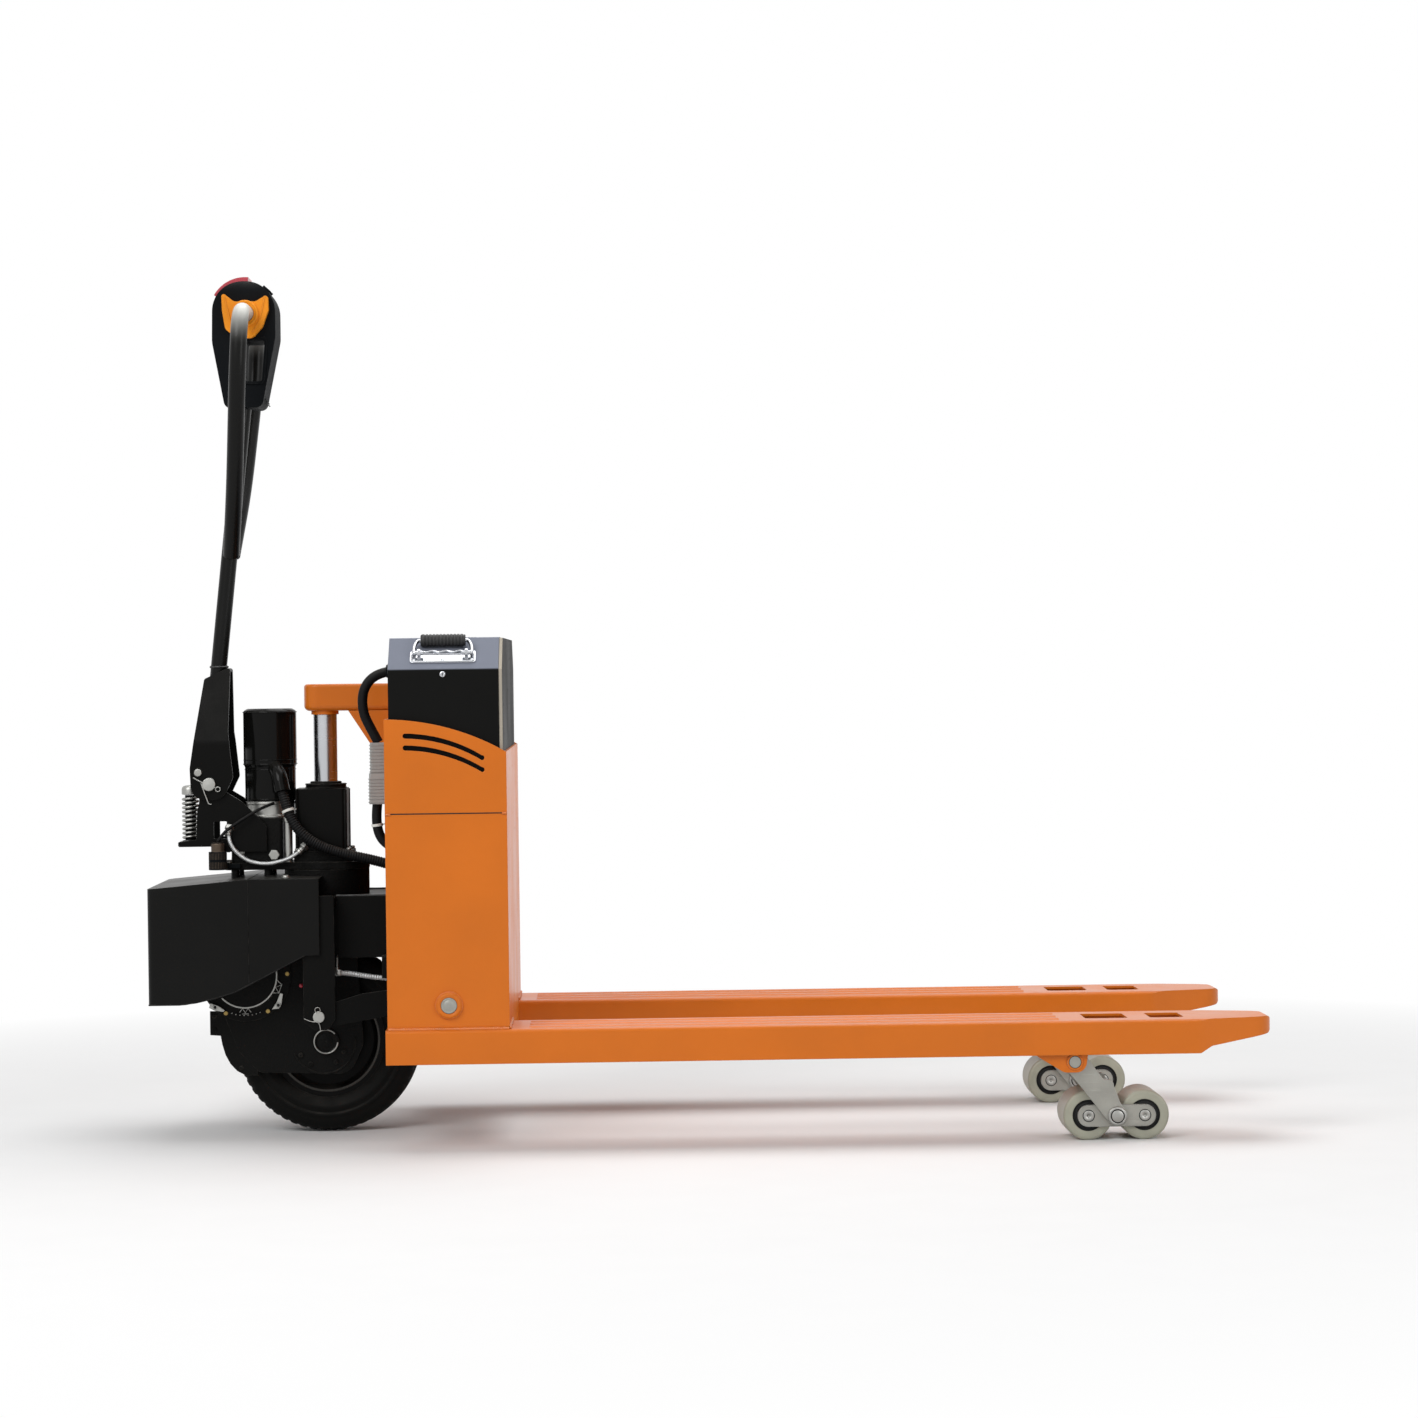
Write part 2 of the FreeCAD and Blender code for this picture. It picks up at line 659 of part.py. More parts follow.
def make_arm():
    """The welded lift arm with its rounded nose, thrust boss and gusset."""
    half = ARM_WIDTH / 2
    low = ARM_TOP_Z - ARM_DEPTH
    plan = [
        (RAM_X - ARM_NOSE, -half, 24),
        (TOWER_REAR_X, -half),
        (TOWER_REAR_X, half),
        (RAM_X - ARM_NOSE, half, 24),
    ]
    arm = plate_z(plan, low, ARM_TOP_Z)
    arm = arm.makeFillet(5, [e for e in arm.Edges if flat_at(e, ARM_TOP_Z)])
    lip = [e for e in arm.Edges if flat_at(e, low) and e.BoundBox.XMax < RAM_X - 5]
    arm = arm.makeFillet(9, lip)
    boss = cyl_z(RAM_X, 0, 23, low - 6, low)
    gusset = plate_y(
        [(RAM_X + 41, low), (RAM_X + 85, low - 68, 30), (TOWER_REAR_X, low - 108), (TOWER_REAR_X, low)],
        -half + 4,
        half - 4,
    )
    write("lift_arm", fused(arm, boss, gusset))
    rod = cyl_z(RAM_X, 0, RAM_RADIUS, RAM_LOW_Z, low - 6)
    write("lift_ram", rod)


def flat_at(edge, z):
    return all(abs(v.Point.z - z) < 1e-6 for v in edge.Vertexes)


def points_of(route):
    return [vec(*p) for p in route]


def tell_radii(name, route):
    """Print the bend radius at each inner point of a lead's route."""
    p = points_of(route)
    radii = []
    for i in range(1, len(p) - 1):
        into, out = p[i] - p[i - 1], p[i + 1] - p[i]
        reach = 0.45 * min(into.Length, out.Length)
        radii.append(round(reach / math.tan(into.getAngle(out) / 2)))
    print(name, "bend radii", radii)


def lead(name, route, radius):
    tell_radii(name, route)
    return tube(points_of(route), radius)


def make_leads():
    write("battery_lead", lead("battery lead", LEAD_ROUTE, LEAD_RADIUS))
    write("supply_lead", lead("supply lead", LOWER_ROUTE, LEAD_RADIUS))
    upper_room = tube(points_of(LEAD_ROUTE), LEAD_RADIUS + 0.1)
    lower_room = tube(points_of(LOWER_ROUTE), LEAD_RADIUS + 0.1)
    gland = cyl_x(LEAD_Y, LEAD_Z, LEAD_RADIUS + 5, CASE_REAR_X - 7, CASE_REAR_X)
    barrel = cyl_x(LEAD_Y, LEAD_Z, LEAD_RADIUS + 2.4, CASE_REAR_X, CASE_REAR_X + 10)
    bore = cyl_x(LEAD_Y, LEAD_Z, LEAD_RADIUS + 0.3, CASE_REAR_X - 8, CASE_REAR_X + 11)
    gland_part = fused(gland, barrel).cut(bore)
    low, high = PLUG_BOTTOM, PLUG_TOP
    split = (low + high) / 2
    upper = block(PLUG_X - 13, PLUG_X + 13, LEAD_Y - 19, LEAD_Y + 19, split, high, 4)
    lower = block(PLUG_X - 15, PLUG_X + 15, LEAD_Y - 21, LEAD_Y + 21, low, split, 4)
    write("lead_fittings", gland_part.cut(upper_room), upper.cut(upper_room), lower.cut(lower_room))
    control = block(258, TOWER_FRONT_X - TOWER_SHEET, LEAD_Y - 60, LEAD_Y + 80, 330, 505, 6)
    write("motor_controller", control.cut(lower_room))


# ---------------------------------------------------------------- carrier
GUIDE_HALF = 100.0
GUIDE_REAR_X = 16.0
GUIDE_FRONT_X = 185.0
GUIDE_BOTTOM_Z = 296.0


def make_carrier():
    """The frame that does not steer: bearing ring, cross beam, guide and hangers."""
    out, inner = HANGER_OUT_Y, HANGER_OUT_Y - HANGER_PLATE
    ring_bore = KINGPIN_RADIUS + PIN_GAP
    ring = cyl_z(0, 0, RING_RADIUS, RING_BOTTOM_Z, BASE_Z - SIDE_GAP)
    ring = ring.cut(cyl_z(0, 0, ring_bore, RING_BOTTOM_Z - 1, BASE_Z + 1))
    write("bearing_ring", ring)
    beam_low = RING_BOTTOM_Z - 16
    beam = box(-30, 22, -inner, inner, beam_low, RING_BOTTOM_Z)
    pad = cyl_z(0, 0, RING_RADIUS, beam_low, RING_BOTTOM_Z)
    guide = box(GUIDE_REAR_X, GUIDE_FRONT_X, -GUIDE_HALF, GUIDE_HALF, GUIDE_BOTTOM_Z, RING_BOTTOM_Z)
    pocket = box(
        GUIDE_REAR_X - 1,
        GUIDE_FRONT_X - 8,
        -GUIDE_HALF + 8,
        GUIDE_HALF - 8,
        GUIDE_BOTTOM_Z - 1,
        beam_low,
    )
    frame = fused(beam, pad, guide.cut(pocket))
    frame = frame.cut(cyl_z(0, 0, ring_bore, beam_low - 1, RING_BOTTOM_Z + 1))
    outline = [
        (-30, RING_BOTTOM_Z + 4, 4),
        (-30, HANGER_PIN_Z - 8, 8),
        (-12, HANGER_PIN_Z - 22, 10),
        (10, HANGER_PIN_Z - 22, 8),
        (22, HANGER_PIN_Z - 4, 8),
        (22, RING_BOTTOM_Z + 4, 4),
    ]
    hanger = plate_y(outline, inner, out)
    bore = cyl_y(HANGER_PIN_X, HANGER_PIN_Z, HANGER_PIN_RADIUS, inner - 1, out + 1)
    hangers = both_sides(hanger.cut(bore))
    pin = cyl_y(HANGER_PIN_X, HANGER_PIN_Z, HANGER_PIN_RADIUS, LEVER_IN_Y - 2, out)
    head = cyl_y(HANGER_PIN_X, HANGER_PIN_Z, HANGER_PIN_RADIUS + 1.5, out, out + 4)
    write("hanger_pins", *both_sides(fused(pin, head)))
    terminal = block(
        TERMINAL_X, TERMINAL_X + 38, TERMINAL_Y - 24, TERMINAL_Y + 24, RING_BOTTOM_Z, 451, 4
    )
    write("carrier_frame", frame, *hangers, terminal)


# ---------------------------------------------------------------- rocker and rods
BOGIE_Z = ROLLER_RADIUS
YOKE_DROP = YOKE_PIVOT_Z - BOGIE_Z
BOGIE_X = YOKE_PIVOT_X + math.sqrt(YOKE_ARM_LENGTH ** 2 - YOKE_DROP ** 2)
YOKE_REST = -math.degrees(math.asin(YOKE_DROP / YOKE_ARM_LENGTH))
YOKE_LOW = math.degrees(math.asin((LIFT_TRAVEL - YOKE_DROP) / YOKE_ARM_LENGTH))
YOKE_SWING = YOKE_LOW - YOKE_REST
ROCKER_REST = math.degrees(math.atan2(HANGER_PIN_Z - ROCKER_Z, ROCKER_X - HANGER_PIN_X))
CRANK_REST = ROCKER_SWING / 2
LUG_REST = 90 - YOKE_SWING / 2
ROD_TRAVEL = 2 * YOKE_ROD_ARM * math.sin(math.radians(YOKE_SWING / 2))
CRANK_LENGTH = ROD_TRAVEL / 2 / math.sin(math.radians(CRANK_REST))
CRANK_DROP = CRANK_LENGTH * math.cos(math.radians(CRANK_REST))
LUG_RISE = YOKE_ROD_ARM * math.cos(math.radians(YOKE_SWING / 2))
CRANK_PLAY = (CRANK_LENGTH - CRANK_DROP) / 2
LUG_PLAY = (YOKE_ROD_ARM - LUG_RISE) / 2
ROD_X0 = ROCKER_X + ROD_TRAVEL / 2
ROD_Z0 = ROCKER_Z - CRANK_DROP - CRANK_PLAY
ROD_X1 = YOKE_PIVOT_X + ROD_TRAVEL / 2
ROD_Z1 = YOKE_PIVOT_Z + LUG_RISE + LUG_PLAY


def make_rocker():
    end_y = TOWER_Y + BOSS_LENGTH + 1
    write("rocker_shaft", cyl_y(ROCKER_X, ROCKER_Z, ROCKER_RADIUS, -end_y, end_y))
    write("rocker_levers", *both_sides(rocker_lever()))
    cranks = []
    for y in (-FORK_Y, FORK_Y):
        cranks.append(placed(rocker_crank(), y))
    write("rocker_cranks", *cranks)


def rocker_lever():
    """A lever plate from the rocker shaft to the hanger pin, with an open slot."""
    y0, y1 = LEVER_IN_Y, LEVER_IN_Y + LEVER_PLATE
    reach = ROCKER_X - HANGER_PIN_X
    outline = [
        (ROCKER_X + 26, -24, 22),
        (ROCKER_X + 26, 26, 22),
        (ROCKER_X - 60, 24, 20),
        (ROCKER_X - 150, 26, 12),
        (ROCKER_X - reach + 20, 18, 10),
        (ROCKER_X - reach - 22, 16, 4),
        (ROCKER_X - reach - 22, -16, 4),
        (ROCKER_X - reach + 20, -19, 10),
        (ROCKER_X - 60, -16, 20),
    ]
    lever = plate_y([(x, ROCKER_Z + z, r) for x, z, r in outline], y0, y1)
    gap = HANGER_PIN_RADIUS + 2.0
    near = ROCKER_X - reach + 3
    slot = box(near - 40, near, y0 - 1, y1 + 1, ROCKER_Z - gap, ROCKER_Z + gap)
    slot = slot.fuse(cyl_y(near, ROCKER_Z, gap, y0 - 1, y1 + 1))
    bore = cyl_y(ROCKER_X, ROCKER_Z, ROCKER_RADIUS, y0 - 12, y1 + 12)
    hub = cyl_y(ROCKER_X, ROCKER_Z, ROCKER_RADIUS + 8, y0 - 10, y1 + 10)
    return turned(fused(lever, hub).cut(slot).cut(bore), ROCKER_X, ROCKER_Z, -ROCKER_REST)


def rocker_crank():
    """The double crank that pushes a rod inside its fork, about the fork's middle."""
    cheek = plate_y(
        [
            (ROCKER_X - 22, ROCKER_Z + 22, 18),
            (ROCKER_X - 11, ROCKER_Z - CRANK_LENGTH - 10, 9),
            (ROCKER_X + 11, ROCKER_Z - CRANK_LENGTH - 10, 9),
            (ROCKER_X + 22, ROCKER_Z + 22, 18),
        ],
        -4,
        4,
    )
    pin = cyl_y(ROCKER_X, ROCKER_Z - CRANK_LENGTH, ROD_PIN_RADIUS, -13, 13)
    bore = cyl_y(ROCKER_X, ROCKER_Z, ROCKER_RADIUS, -5, 5)
    return turned(fused(cheek, pin).cut(bore), ROCKER_X, ROCKER_Z, CRANK_REST)


def push_rod():
    """A rod from the crank's pin to the yoke's pin, with upright slots at its ends."""
    bar = plate_y(
        [
            (ROD_X0 + 24, ROD_Z0 - 9),
            (ROD_X1 - 24, ROD_Z1 - 9),
            (ROD_X1 - 24, ROD_Z1 + 9),
            (ROD_X0 + 24, ROD_Z0 + 9),
        ],
        -6,
        6,
    )
    shape = [bar]
    holes = []
    ends = ((ROD_X0, ROD_Z0, 1, CRANK_PLAY), (ROD_X1, ROD_Z1, -1, LUG_PLAY))
    for x, z, way, play in ends:
        for y0 in (-13.0, 5.0):
            x0, x1 = sorted((x - way * 12, x + way * 34))
            shape.append(plate_y(
                [(x0, z - 12, 4), (x1, z - 12, 4), (x1, z + 12, 4), (x0, z + 12, 4)], y0, y0 + 8
            ))
        gap = ROD_PIN_RADIUS + ROD_SLOT_GAP
        upright = gap + play
        holes.append(plate_y(
            [
                (x - gap, z - upright, gap - 0.01),
                (x + gap, z - upright, gap - 0.01),
                (x + gap, z + upright, gap - 0.01),
                (x - gap, z + upright, gap - 0.01),
            ],
            -14,
            14,
        ))
    return fused(*shape).cut(holes[0]).cut(holes[1])


def make_rods():
    rod = push_rod()
    write("push_rod_left", placed(rod, FORK_Y))
    write("push_rod_right", placed(rod, -FORK_Y))


# ---------------------------------------------------------------- yokes, bogies, rollers
def yoke():
    """A forked arm with a cross tube and the push rod's lug, about a fork's middle."""
    y1 = YOKE_OUT_Y
    y0 = y1 - YOKE_PLATE
    length = YOKE_ARM_LENGTH
    arm = plate_y(
        [
            (-19, 10, 16),
            (-12, -19, 15),
            (34, -17, 16),
            (length - 8, -17, 10),
            (length + 16, -15, 14),
            (length + 16, 15, 14),
            (length - 14, 17, 12),
            (length - 40, 25, 6),
            (62, 30, 8),
            (52, 19, 6),
            (10, 20, 16),
        ],
        y0,
        y1,
    )
    arms = both_sides(arm)
    tube_part = cyl_y(0, 0, YOKE_PIN_RADIUS + 6, -y0, y0)
    lug_turn = LUG_REST - YOKE_REST
    cheeks = []
    for at in (-4.4, 0.0):
        cheek = plate_y([(0, -12, 8), (34, -11, 9), (34, 11, 9), (0, 12, 8)], at, at + 4.4)
        cheeks.append(turned(cheek, 0, 0, lug_turn))
    pin = turned(cyl_y(YOKE_ROD_ARM, 0, ROD_PIN_RADIUS, -13, 13), 0, 0, lug_turn)
    shape = fused(tube_part, *arms, *cheeks, pin)
    shape = shape.cut(cyl_y(0, 0, YOKE_PIN_RADIUS + PIN_GAP, -y1 - 1, y1 + 1))
    shape = shape.cut(cyl_y(length, 0, BOGIE_PIN_RADIUS + PIN_GAP, -y1 - 1, y1 + 1))
    shape = turned(shape, 0, 0, YOKE_REST)
    shape.translate(vec(YOKE_PIVOT_X, 0, YOKE_PIVOT_Z))
    return shape


def bogie():
    """Two link plates with their pins: a pivot in the middle and an axle at each end."""
    y0 = ROLLER_WIDTH / 2 + SIDE_GAP
    y1 = y0 + BOGIE_PLATE
    half = ROLLER_PITCH / 2
    r = BOGIE_LINK_HEIGHT / 2
    outline = [
        (-half - r, -r, r - 0.01),
        (half + r, -r, r - 0.01),
        (half + r, r, r - 0.01),
        (-half - r, r, r - 0.01),
    ]
    link = plate_y([(BOGIE_X + x, BOGIE_Z + z, c) for x, z, c in outline], y0, y1)
    pin_out = YOKE_OUT_Y + 1.5
    pivot = cyl_y(BOGIE_X, BOGIE_Z, BOGIE_PIN_RADIUS, y0, pin_out)
    parts = both_sides(link) + both_sides(pivot)
    for side in (-1, 1):
        x = BOGIE_X + side * half
        parts.append(cyl_y(x, BOGIE_Z, ROLLER_BORE, -y1, y1))
    return fused(*parts)


def roller():
    """A load roller with bearing recesses in its ends, about its own axis."""
    half = ROLLER_WIDTH / 2
    bore = ROLLER_BORE + PIN_GAP
    outline = [
        (bore, -half + 3.0),
        (23.0, -half + 3.0),
        (25.5, -half + 0.2),
        (ROLLER_RADIUS, -half + 0.2, 5),
        (ROLLER_RADIUS, half - 0.2, 5),
        (25.5, half - 0.2),
        (23.0, half - 3.0),
        (bore, half - 3.0),
    ]
    return revolved_y(outline, 0, 0)


def make_running_gear():
    arm, links, wheel = yoke(), bogie(), roller()
    for side, y in (("left", FORK_Y), ("right", -FORK_Y)):
        write("yoke_" + side, placed(arm, y))
        write("bogie_" + side, placed(links, y))
        for place, way in (("rear", -1), ("front", 1)):
            piece = wheel.copy()
            piece.translate(vec(BOGIE_X + way * ROLLER_PITCH / 2, y, BOGIE_Z))
            write("roller_" + side + "_" + place, piece)


# ---------------------------------------------------------------- drive wheel
HUB_RADIUS = 30.0
BEARING_GAP = 0.05


def make_wheel():
    half = WHEEL_WIDTH / 2
    r = WHEEL_RADIUS
    tyre = [
        (RIM_RADIUS, -half + 12),
        (RIM_RADIUS + 6, -half + 4, 4),
        (RIM_RADIUS + 26, -half, 18),
        (r - 20, -half, 16),
        (r - 4, -half + 17, 14),
        (r, 0, 60),
        (r - 4, half - 17, 14),
        (r - 20, half, 16),
        (RIM_RADIUS + 26, half, 18),
        (RIM_RADIUS + 6, half - 4, 4),
        (RIM_RADIUS, half - 12),
    ]
    write("drive_tyre", revolved_y(tyre, 0, r))
    rim = [
        (AXLE_RADIUS + BEARING_GAP, -half + 14),
        (HUB_RADIUS, -half + 14),
        (HUB_RADIUS + 4, -half + 30),
        (RIM_RADIUS - 16, -half + 30, 6),
        (RIM_RADIUS - 12, -half + 12, 4),
        (RIM_RADIUS, -half + 12),
        (RIM_RADIUS, half - 12),
        (RIM_RADIUS - 12, half - 12, 4),
        (RIM_RADIUS - 16, half - 30, 6),
        (HUB_RADIUS + 4, half - 30),
        (HUB_RADIUS, half - 14),
        (AXLE_RADIUS + BEARING_GAP, half - 14),
    ]
    write("wheel_rim", revolved_y(rim, 0, r))


# ---------------------------------------------------------------- drive head
CASE_IN_Y = WHEEL_WIDTH / 2 + 5
CASE_OUT_Y = CASE_IN_Y + 12
BRIDGE_LOW_Z = 316.0
BRIDGE_HIGH_Z = 340.0


def side_plate(y0, y1):
    """A cheek of the drive unit, from the bridge down to the axle."""
    outline = [
        (-182, 245, 6),
        (-182, 201),
        (-169, 200),
        (-146, 140, 6),
        (-112, 104, 14),
        (40, 100, 30),
        (62, 150, 30),
        (50, BRIDGE_HIGH_Z, 10),
        (-150, BRIDGE_HIGH_Z, 30),
    ]
    plate = plate_y(outline, y0, y1)
    return plate.cut(cyl_y(0, WHEEL_RADIUS, AXLE_RADIUS, y0 - 1, y1 + 1))


def make_drive():
    """The cheeks, bridge and kingpin that carry the wheel, with motor and axle."""
    bridge = box(-60, 50, -CASE_IN_Y, CASE_IN_Y, BRIDGE_LOW_Z, BRIDGE_HIGH_Z)
    kingpin = cyl_z(0, 0, KINGPIN_RADIUS, BRIDGE_HIGH_Z, BASE_Z)
    bore = cyl_z(0, 0, RAM_BORE, RAM_LOW_Z - LIFT_TRAVEL - 6, BLOCK_TOP_Z + 20)
    carcass = fused(bridge, kingpin, *both_sides(side_plate(CASE_IN_Y, CASE_OUT_Y)))
    write("drive_frame", carcass.cut(bore))
    axle = cyl_y(0, WHEEL_RADIUS, AXLE_RADIUS, -CASE_OUT_Y - 6, CASE_OUT_Y + 6)
    ring = cyl_y(0, WHEEL_RADIUS, 21.5, CASE_OUT_Y, CASE_OUT_Y + 9)
    ring = ring.cut(cyl_y(0, WHEEL_RADIUS, AXLE_RADIUS, CASE_OUT_Y - 1, CASE_OUT_Y + 10))
    write("wheel_axle", axle, *both_sides(ring))
    body = cyl_y(MOTOR_X, MOTOR_Z, MOTOR_RADIUS - 20, CASE_OUT_Y, CASE_OUT_Y + 10)
    flange = cyl_y(MOTOR_X, MOTOR_Z, MOTOR_RADIUS, CASE_OUT_Y, CASE_OUT_Y + 4)
    near = mirrored(body.fuse(flange))
    far = cyl_y(MOTOR_X, MOTOR_Z, MOTOR_RADIUS - 10, CASE_OUT_Y, CASE_OUT_Y + 10)
    write("drive_motor", near, far)
    screws = []
    for i in range(6):
        turn = math.radians(2 + 60 * i)
        x = MOTOR_X + 70 * math.cos(turn)
        z = MOTOR_Z + 70 * math.sin(turn)
        screws.append(cyl_y(x, z, 3.5, -CASE_OUT_Y - 6.5, -CASE_OUT_Y - 4))
    write("motor_screws", *screws)


RAM_BORE = RAM_RADIUS + 0.08


def make_head_block():
    """The base casting, cylinder block and its collar above the bearing ring."""
    plan = [
        (-166, -50, 10),
        (-40, -50),
        (-10, -RING_RADIUS + 1, 30),
        (RING_RADIUS, -56, 50),
        (RING_RADIUS, 56, 50),
        (-10, RING_RADIUS - 1, 30),
        (-40, 50),
        (-166, 50, 10),
    ]
    plate = plate_z(plan, BASE_Z, BASE_Z + BASE_SHEET)
    pad = block(-52, 46, -48, 48, BASE_Z + BASE_SHEET, BLOCK_BOTTOM_Z, 8)
    bore = cyl_z(0, 0, RAM_BORE, BASE_Z - 1, BLOCK_TOP_Z + 30)
    write("base_casting", fused(plate, pad).cut(bore))
    half = BLOCK_WIDTH / 2
    cylinder = block(-half - 6, half - 6, -half, half, BLOCK_BOTTOM_Z, BLOCK_TOP_Z, 8)
    collar = cyl_z(0, 0, 34, BLOCK_TOP_Z, COLLAR_TOP_Z - 3)
    wiper = cyl_z(0, 0, 26, COLLAR_TOP_Z - 3, COLLAR_TOP_Z)
    write("lift_cylinder", cylinder.cut(bore), fused(collar, wiper).cut(bore))


def make_pump():
    low = BASE_Z + BASE_SHEET
    body = block(-156, -70, -45, 45, low, PUMP_BLOCK_TOP_Z, 6)
    write("pump_block", body)
    flange = cyl_z(PUMP_X, 0, PUMP_RADIUS - 4, PUMP_BLOCK_TOP_Z, PUMP_BOTTOM_Z)
    motor = revolved_z(
        [
            (0, PUMP_BOTTOM_Z),
            (PUMP_RADIUS - 1, PUMP_BOTTOM_Z, 2),
            (PUMP_RADIUS - 1, 612),
            (PUMP_RADIUS + 1, 616),
            (PUMP_RADIUS + 1, PUMP_TOP_Z - 4, 5),
            (PUMP_RADIUS - 6, PUMP_TOP_Z, 4),
            (0, PUMP_TOP_Z),
        ],
        PUMP_X,
        0,
    )
    tank = cyl_z(-61, -38, 7, low, PUMP_BLOCK_TOP_Z - 7)
    cap = cyl_z(-61, -38, 8.5, PUMP_BLOCK_TOP_Z - 7, PUMP_BLOCK_TOP_Z + 1)
    plug = hexagon(-84, 466, 9.0, -53, -45)
    write("pump_fittings", flange, fused(tank, cap), plug)
    boot = tube(points_of(BOOT_ROUTE), HARNESS_RADIUS + 4)
    boot = boot.cut(cyl_z(PUMP_X, 0, PUMP_RADIUS + 1.3, PUMP_BLOCK_TOP_Z, PUMP_TOP_Z))
    write("pump_motor", motor, boot)


def hexagon(x, z, radius, y0, y1):
    points = []
    for i in range(6):
        turn = math.radians(60 * i)
        points.append((x + radius * math.cos(turn), z + radius * math.sin(turn)))
    return plate_y(points, y0, y1)


HARNESS_RADIUS = 9.0
TERMINAL_X = 140.0
TERMINAL_Y = -66.0
BOOT_ROUTE = ((-84.0, -32.0, 614.0), (-74.0, -54.0, 600.0), (-68.0, -60.0, 572.0))
HARNESS_ROUTE = (
    (-68.0, -60.0, 572.0),
    (-61.0, -65.0, 543.0),
    (-45.0, -71.0, 510.0),
    (-14.0, -71.0, 483.0),
    (30.0, -69.0, 467.0),
    (74.0, -67.0, 458.0),
    (110.0, -66.0, 448.0),
    (TERMINAL_X - 4.0, TERMINAL_Y, 438.0),
)
HOSE_RADIUS = 3.6
HOSE_ROUTE = (
    (-157.0, -52.0, 514.0),
    (-160.0, -60.0, 500.0),
    (-152.0, -62.0, 477.0),
    (-128.0, -61.0, 456.0),
    (-98.0, -61.0, 450.5),
    (-70.0, -60.0, 455.0),
    (-46.0, -56.0, 466.0),
    (-32.0, -50.0, 480.0),
)
GLAND_X = -176.0
GLAND_Y = -68.5
WIRE_RADIUS = 2.6
WIRE_ROUTE = (
    (-84.0, -42.0, 552.0),
    (-101.0, -54.0, 546.0),
    (-124.0, -62.0, 533.0),
    (-148.0, -66.0, 518.0),
    (-168.0, -68.0, 503.0),
    (GLAND_X, GLAND_Y, 489.5),
)


def make_head_leads():
    write("motor_harness", lead("motor harness", HARNESS_ROUTE, HARNESS_RADIUS))
    hose = lead("oil hose", HOSE_ROUTE, HOSE_RADIUS)
    wire = lead("sensor wire", WIRE_ROUTE, WIRE_RADIUS)
    write("head_hoses", hose, wire)
    low = 443.0
    nut = cyl_z(GLAND_X, GLAND_Y, 15, low, low + 30)
    neck = cyl_z(GLAND_X, GLAND_Y, 10.5, low + 30, 489)
    arm = box(GLAND_X, -140, -60, -50, low + 2, low + 9)
    write("wire_gland", fused(nut, neck, arm))


# ---------------------------------------------------------------- hood
def make_hood():
    """The folded sheet hood over the drive unit, open below and in front."""
    profile = [
        (HOOD_REAR_X, 226),
        (-222, 226, 60),
        (-150, 243, 60),
        (-24, 305, 10),
        (-2, 305),
        (-2, HOOD_TOP_Z),
        (HOOD_BEND_X, HOOD_TOP_Z),
        (HOOD_REAR_X, HOOD_REAR_TOP_Z),
    ]
    plan = [
        (HOOD_REAR_X, -HOOD_HALF, 14),
        (-2, -HOOD_HALF),
        (-2, HOOD_HALF),
        (HOOD_REAR_X, HOOD_HALF, 14),
    ]
    inner_profile = [
        (HOOD_REAR_X + HOOD_SHEET, 200),
        (10, 200),
        (10, HOOD_TOP_Z - HOOD_SHEET),
        (HOOD_BEND_X, HOOD_TOP_Z - HOOD_SHEET),
        (HOOD_REAR_X + HOOD_SHEET, HOOD_REAR_TOP_Z - HOOD_SHEET),
    ]
    inner_half = HOOD_HALF - HOOD_SHEET
    inner_plan = [
        (HOOD_REAR_X + HOOD_SHEET, -inner_half, 14 - HOOD_SHEET),
        (10, -inner_half),
        (10, inner_half),
        (HOOD_REAR_X + HOOD_SHEET, inner_half, 14 - HOOD_SHEET),
    ]
    shell = plate_y(profile, -HOOD_HALF, HOOD_HALF).common(plate_z(plan, 200, 440))
    hollow = plate_y(inner_profile, -inner_half, inner_half)
    hollow = hollow.common(plate_z(inner_plan, 190, 440))
    shell = shell.cut(hollow).cut(cyl_z(0, 0, RING_RADIUS + 3, 380, 450))
    shadow = plate_y(profile, -HOOD_HALF, HOOD_HALF)
    posts = []
    for x in (-150.0, -95.0):
        for y in (-38.0, 38.0):
            posts.append(cyl_z(x, y, 7, HOOD_REAR_TOP_Z, BASE_Z).cut(shadow))
    write("drive_hood", shell, *posts)


# ---------------------------------------------------------------- tiller clevis and spring
CLEVIS_OUT_Y = TILLER_PLATE_Y - SIDE_GAP
CLEVIS_IN_Y = 45.0
CLEVIS_EYE = 17.5
SPRING_X = -228.0
SPRING_RADIUS = 14.5
SPRING_LOW = 489.0
SPRING_HIGH = 583.0
SHELF_REAR_X = SPRING_X - SPRING_RADIUS - 1
SHELF_BOTTOM_Z = SPRING_LOW - 8


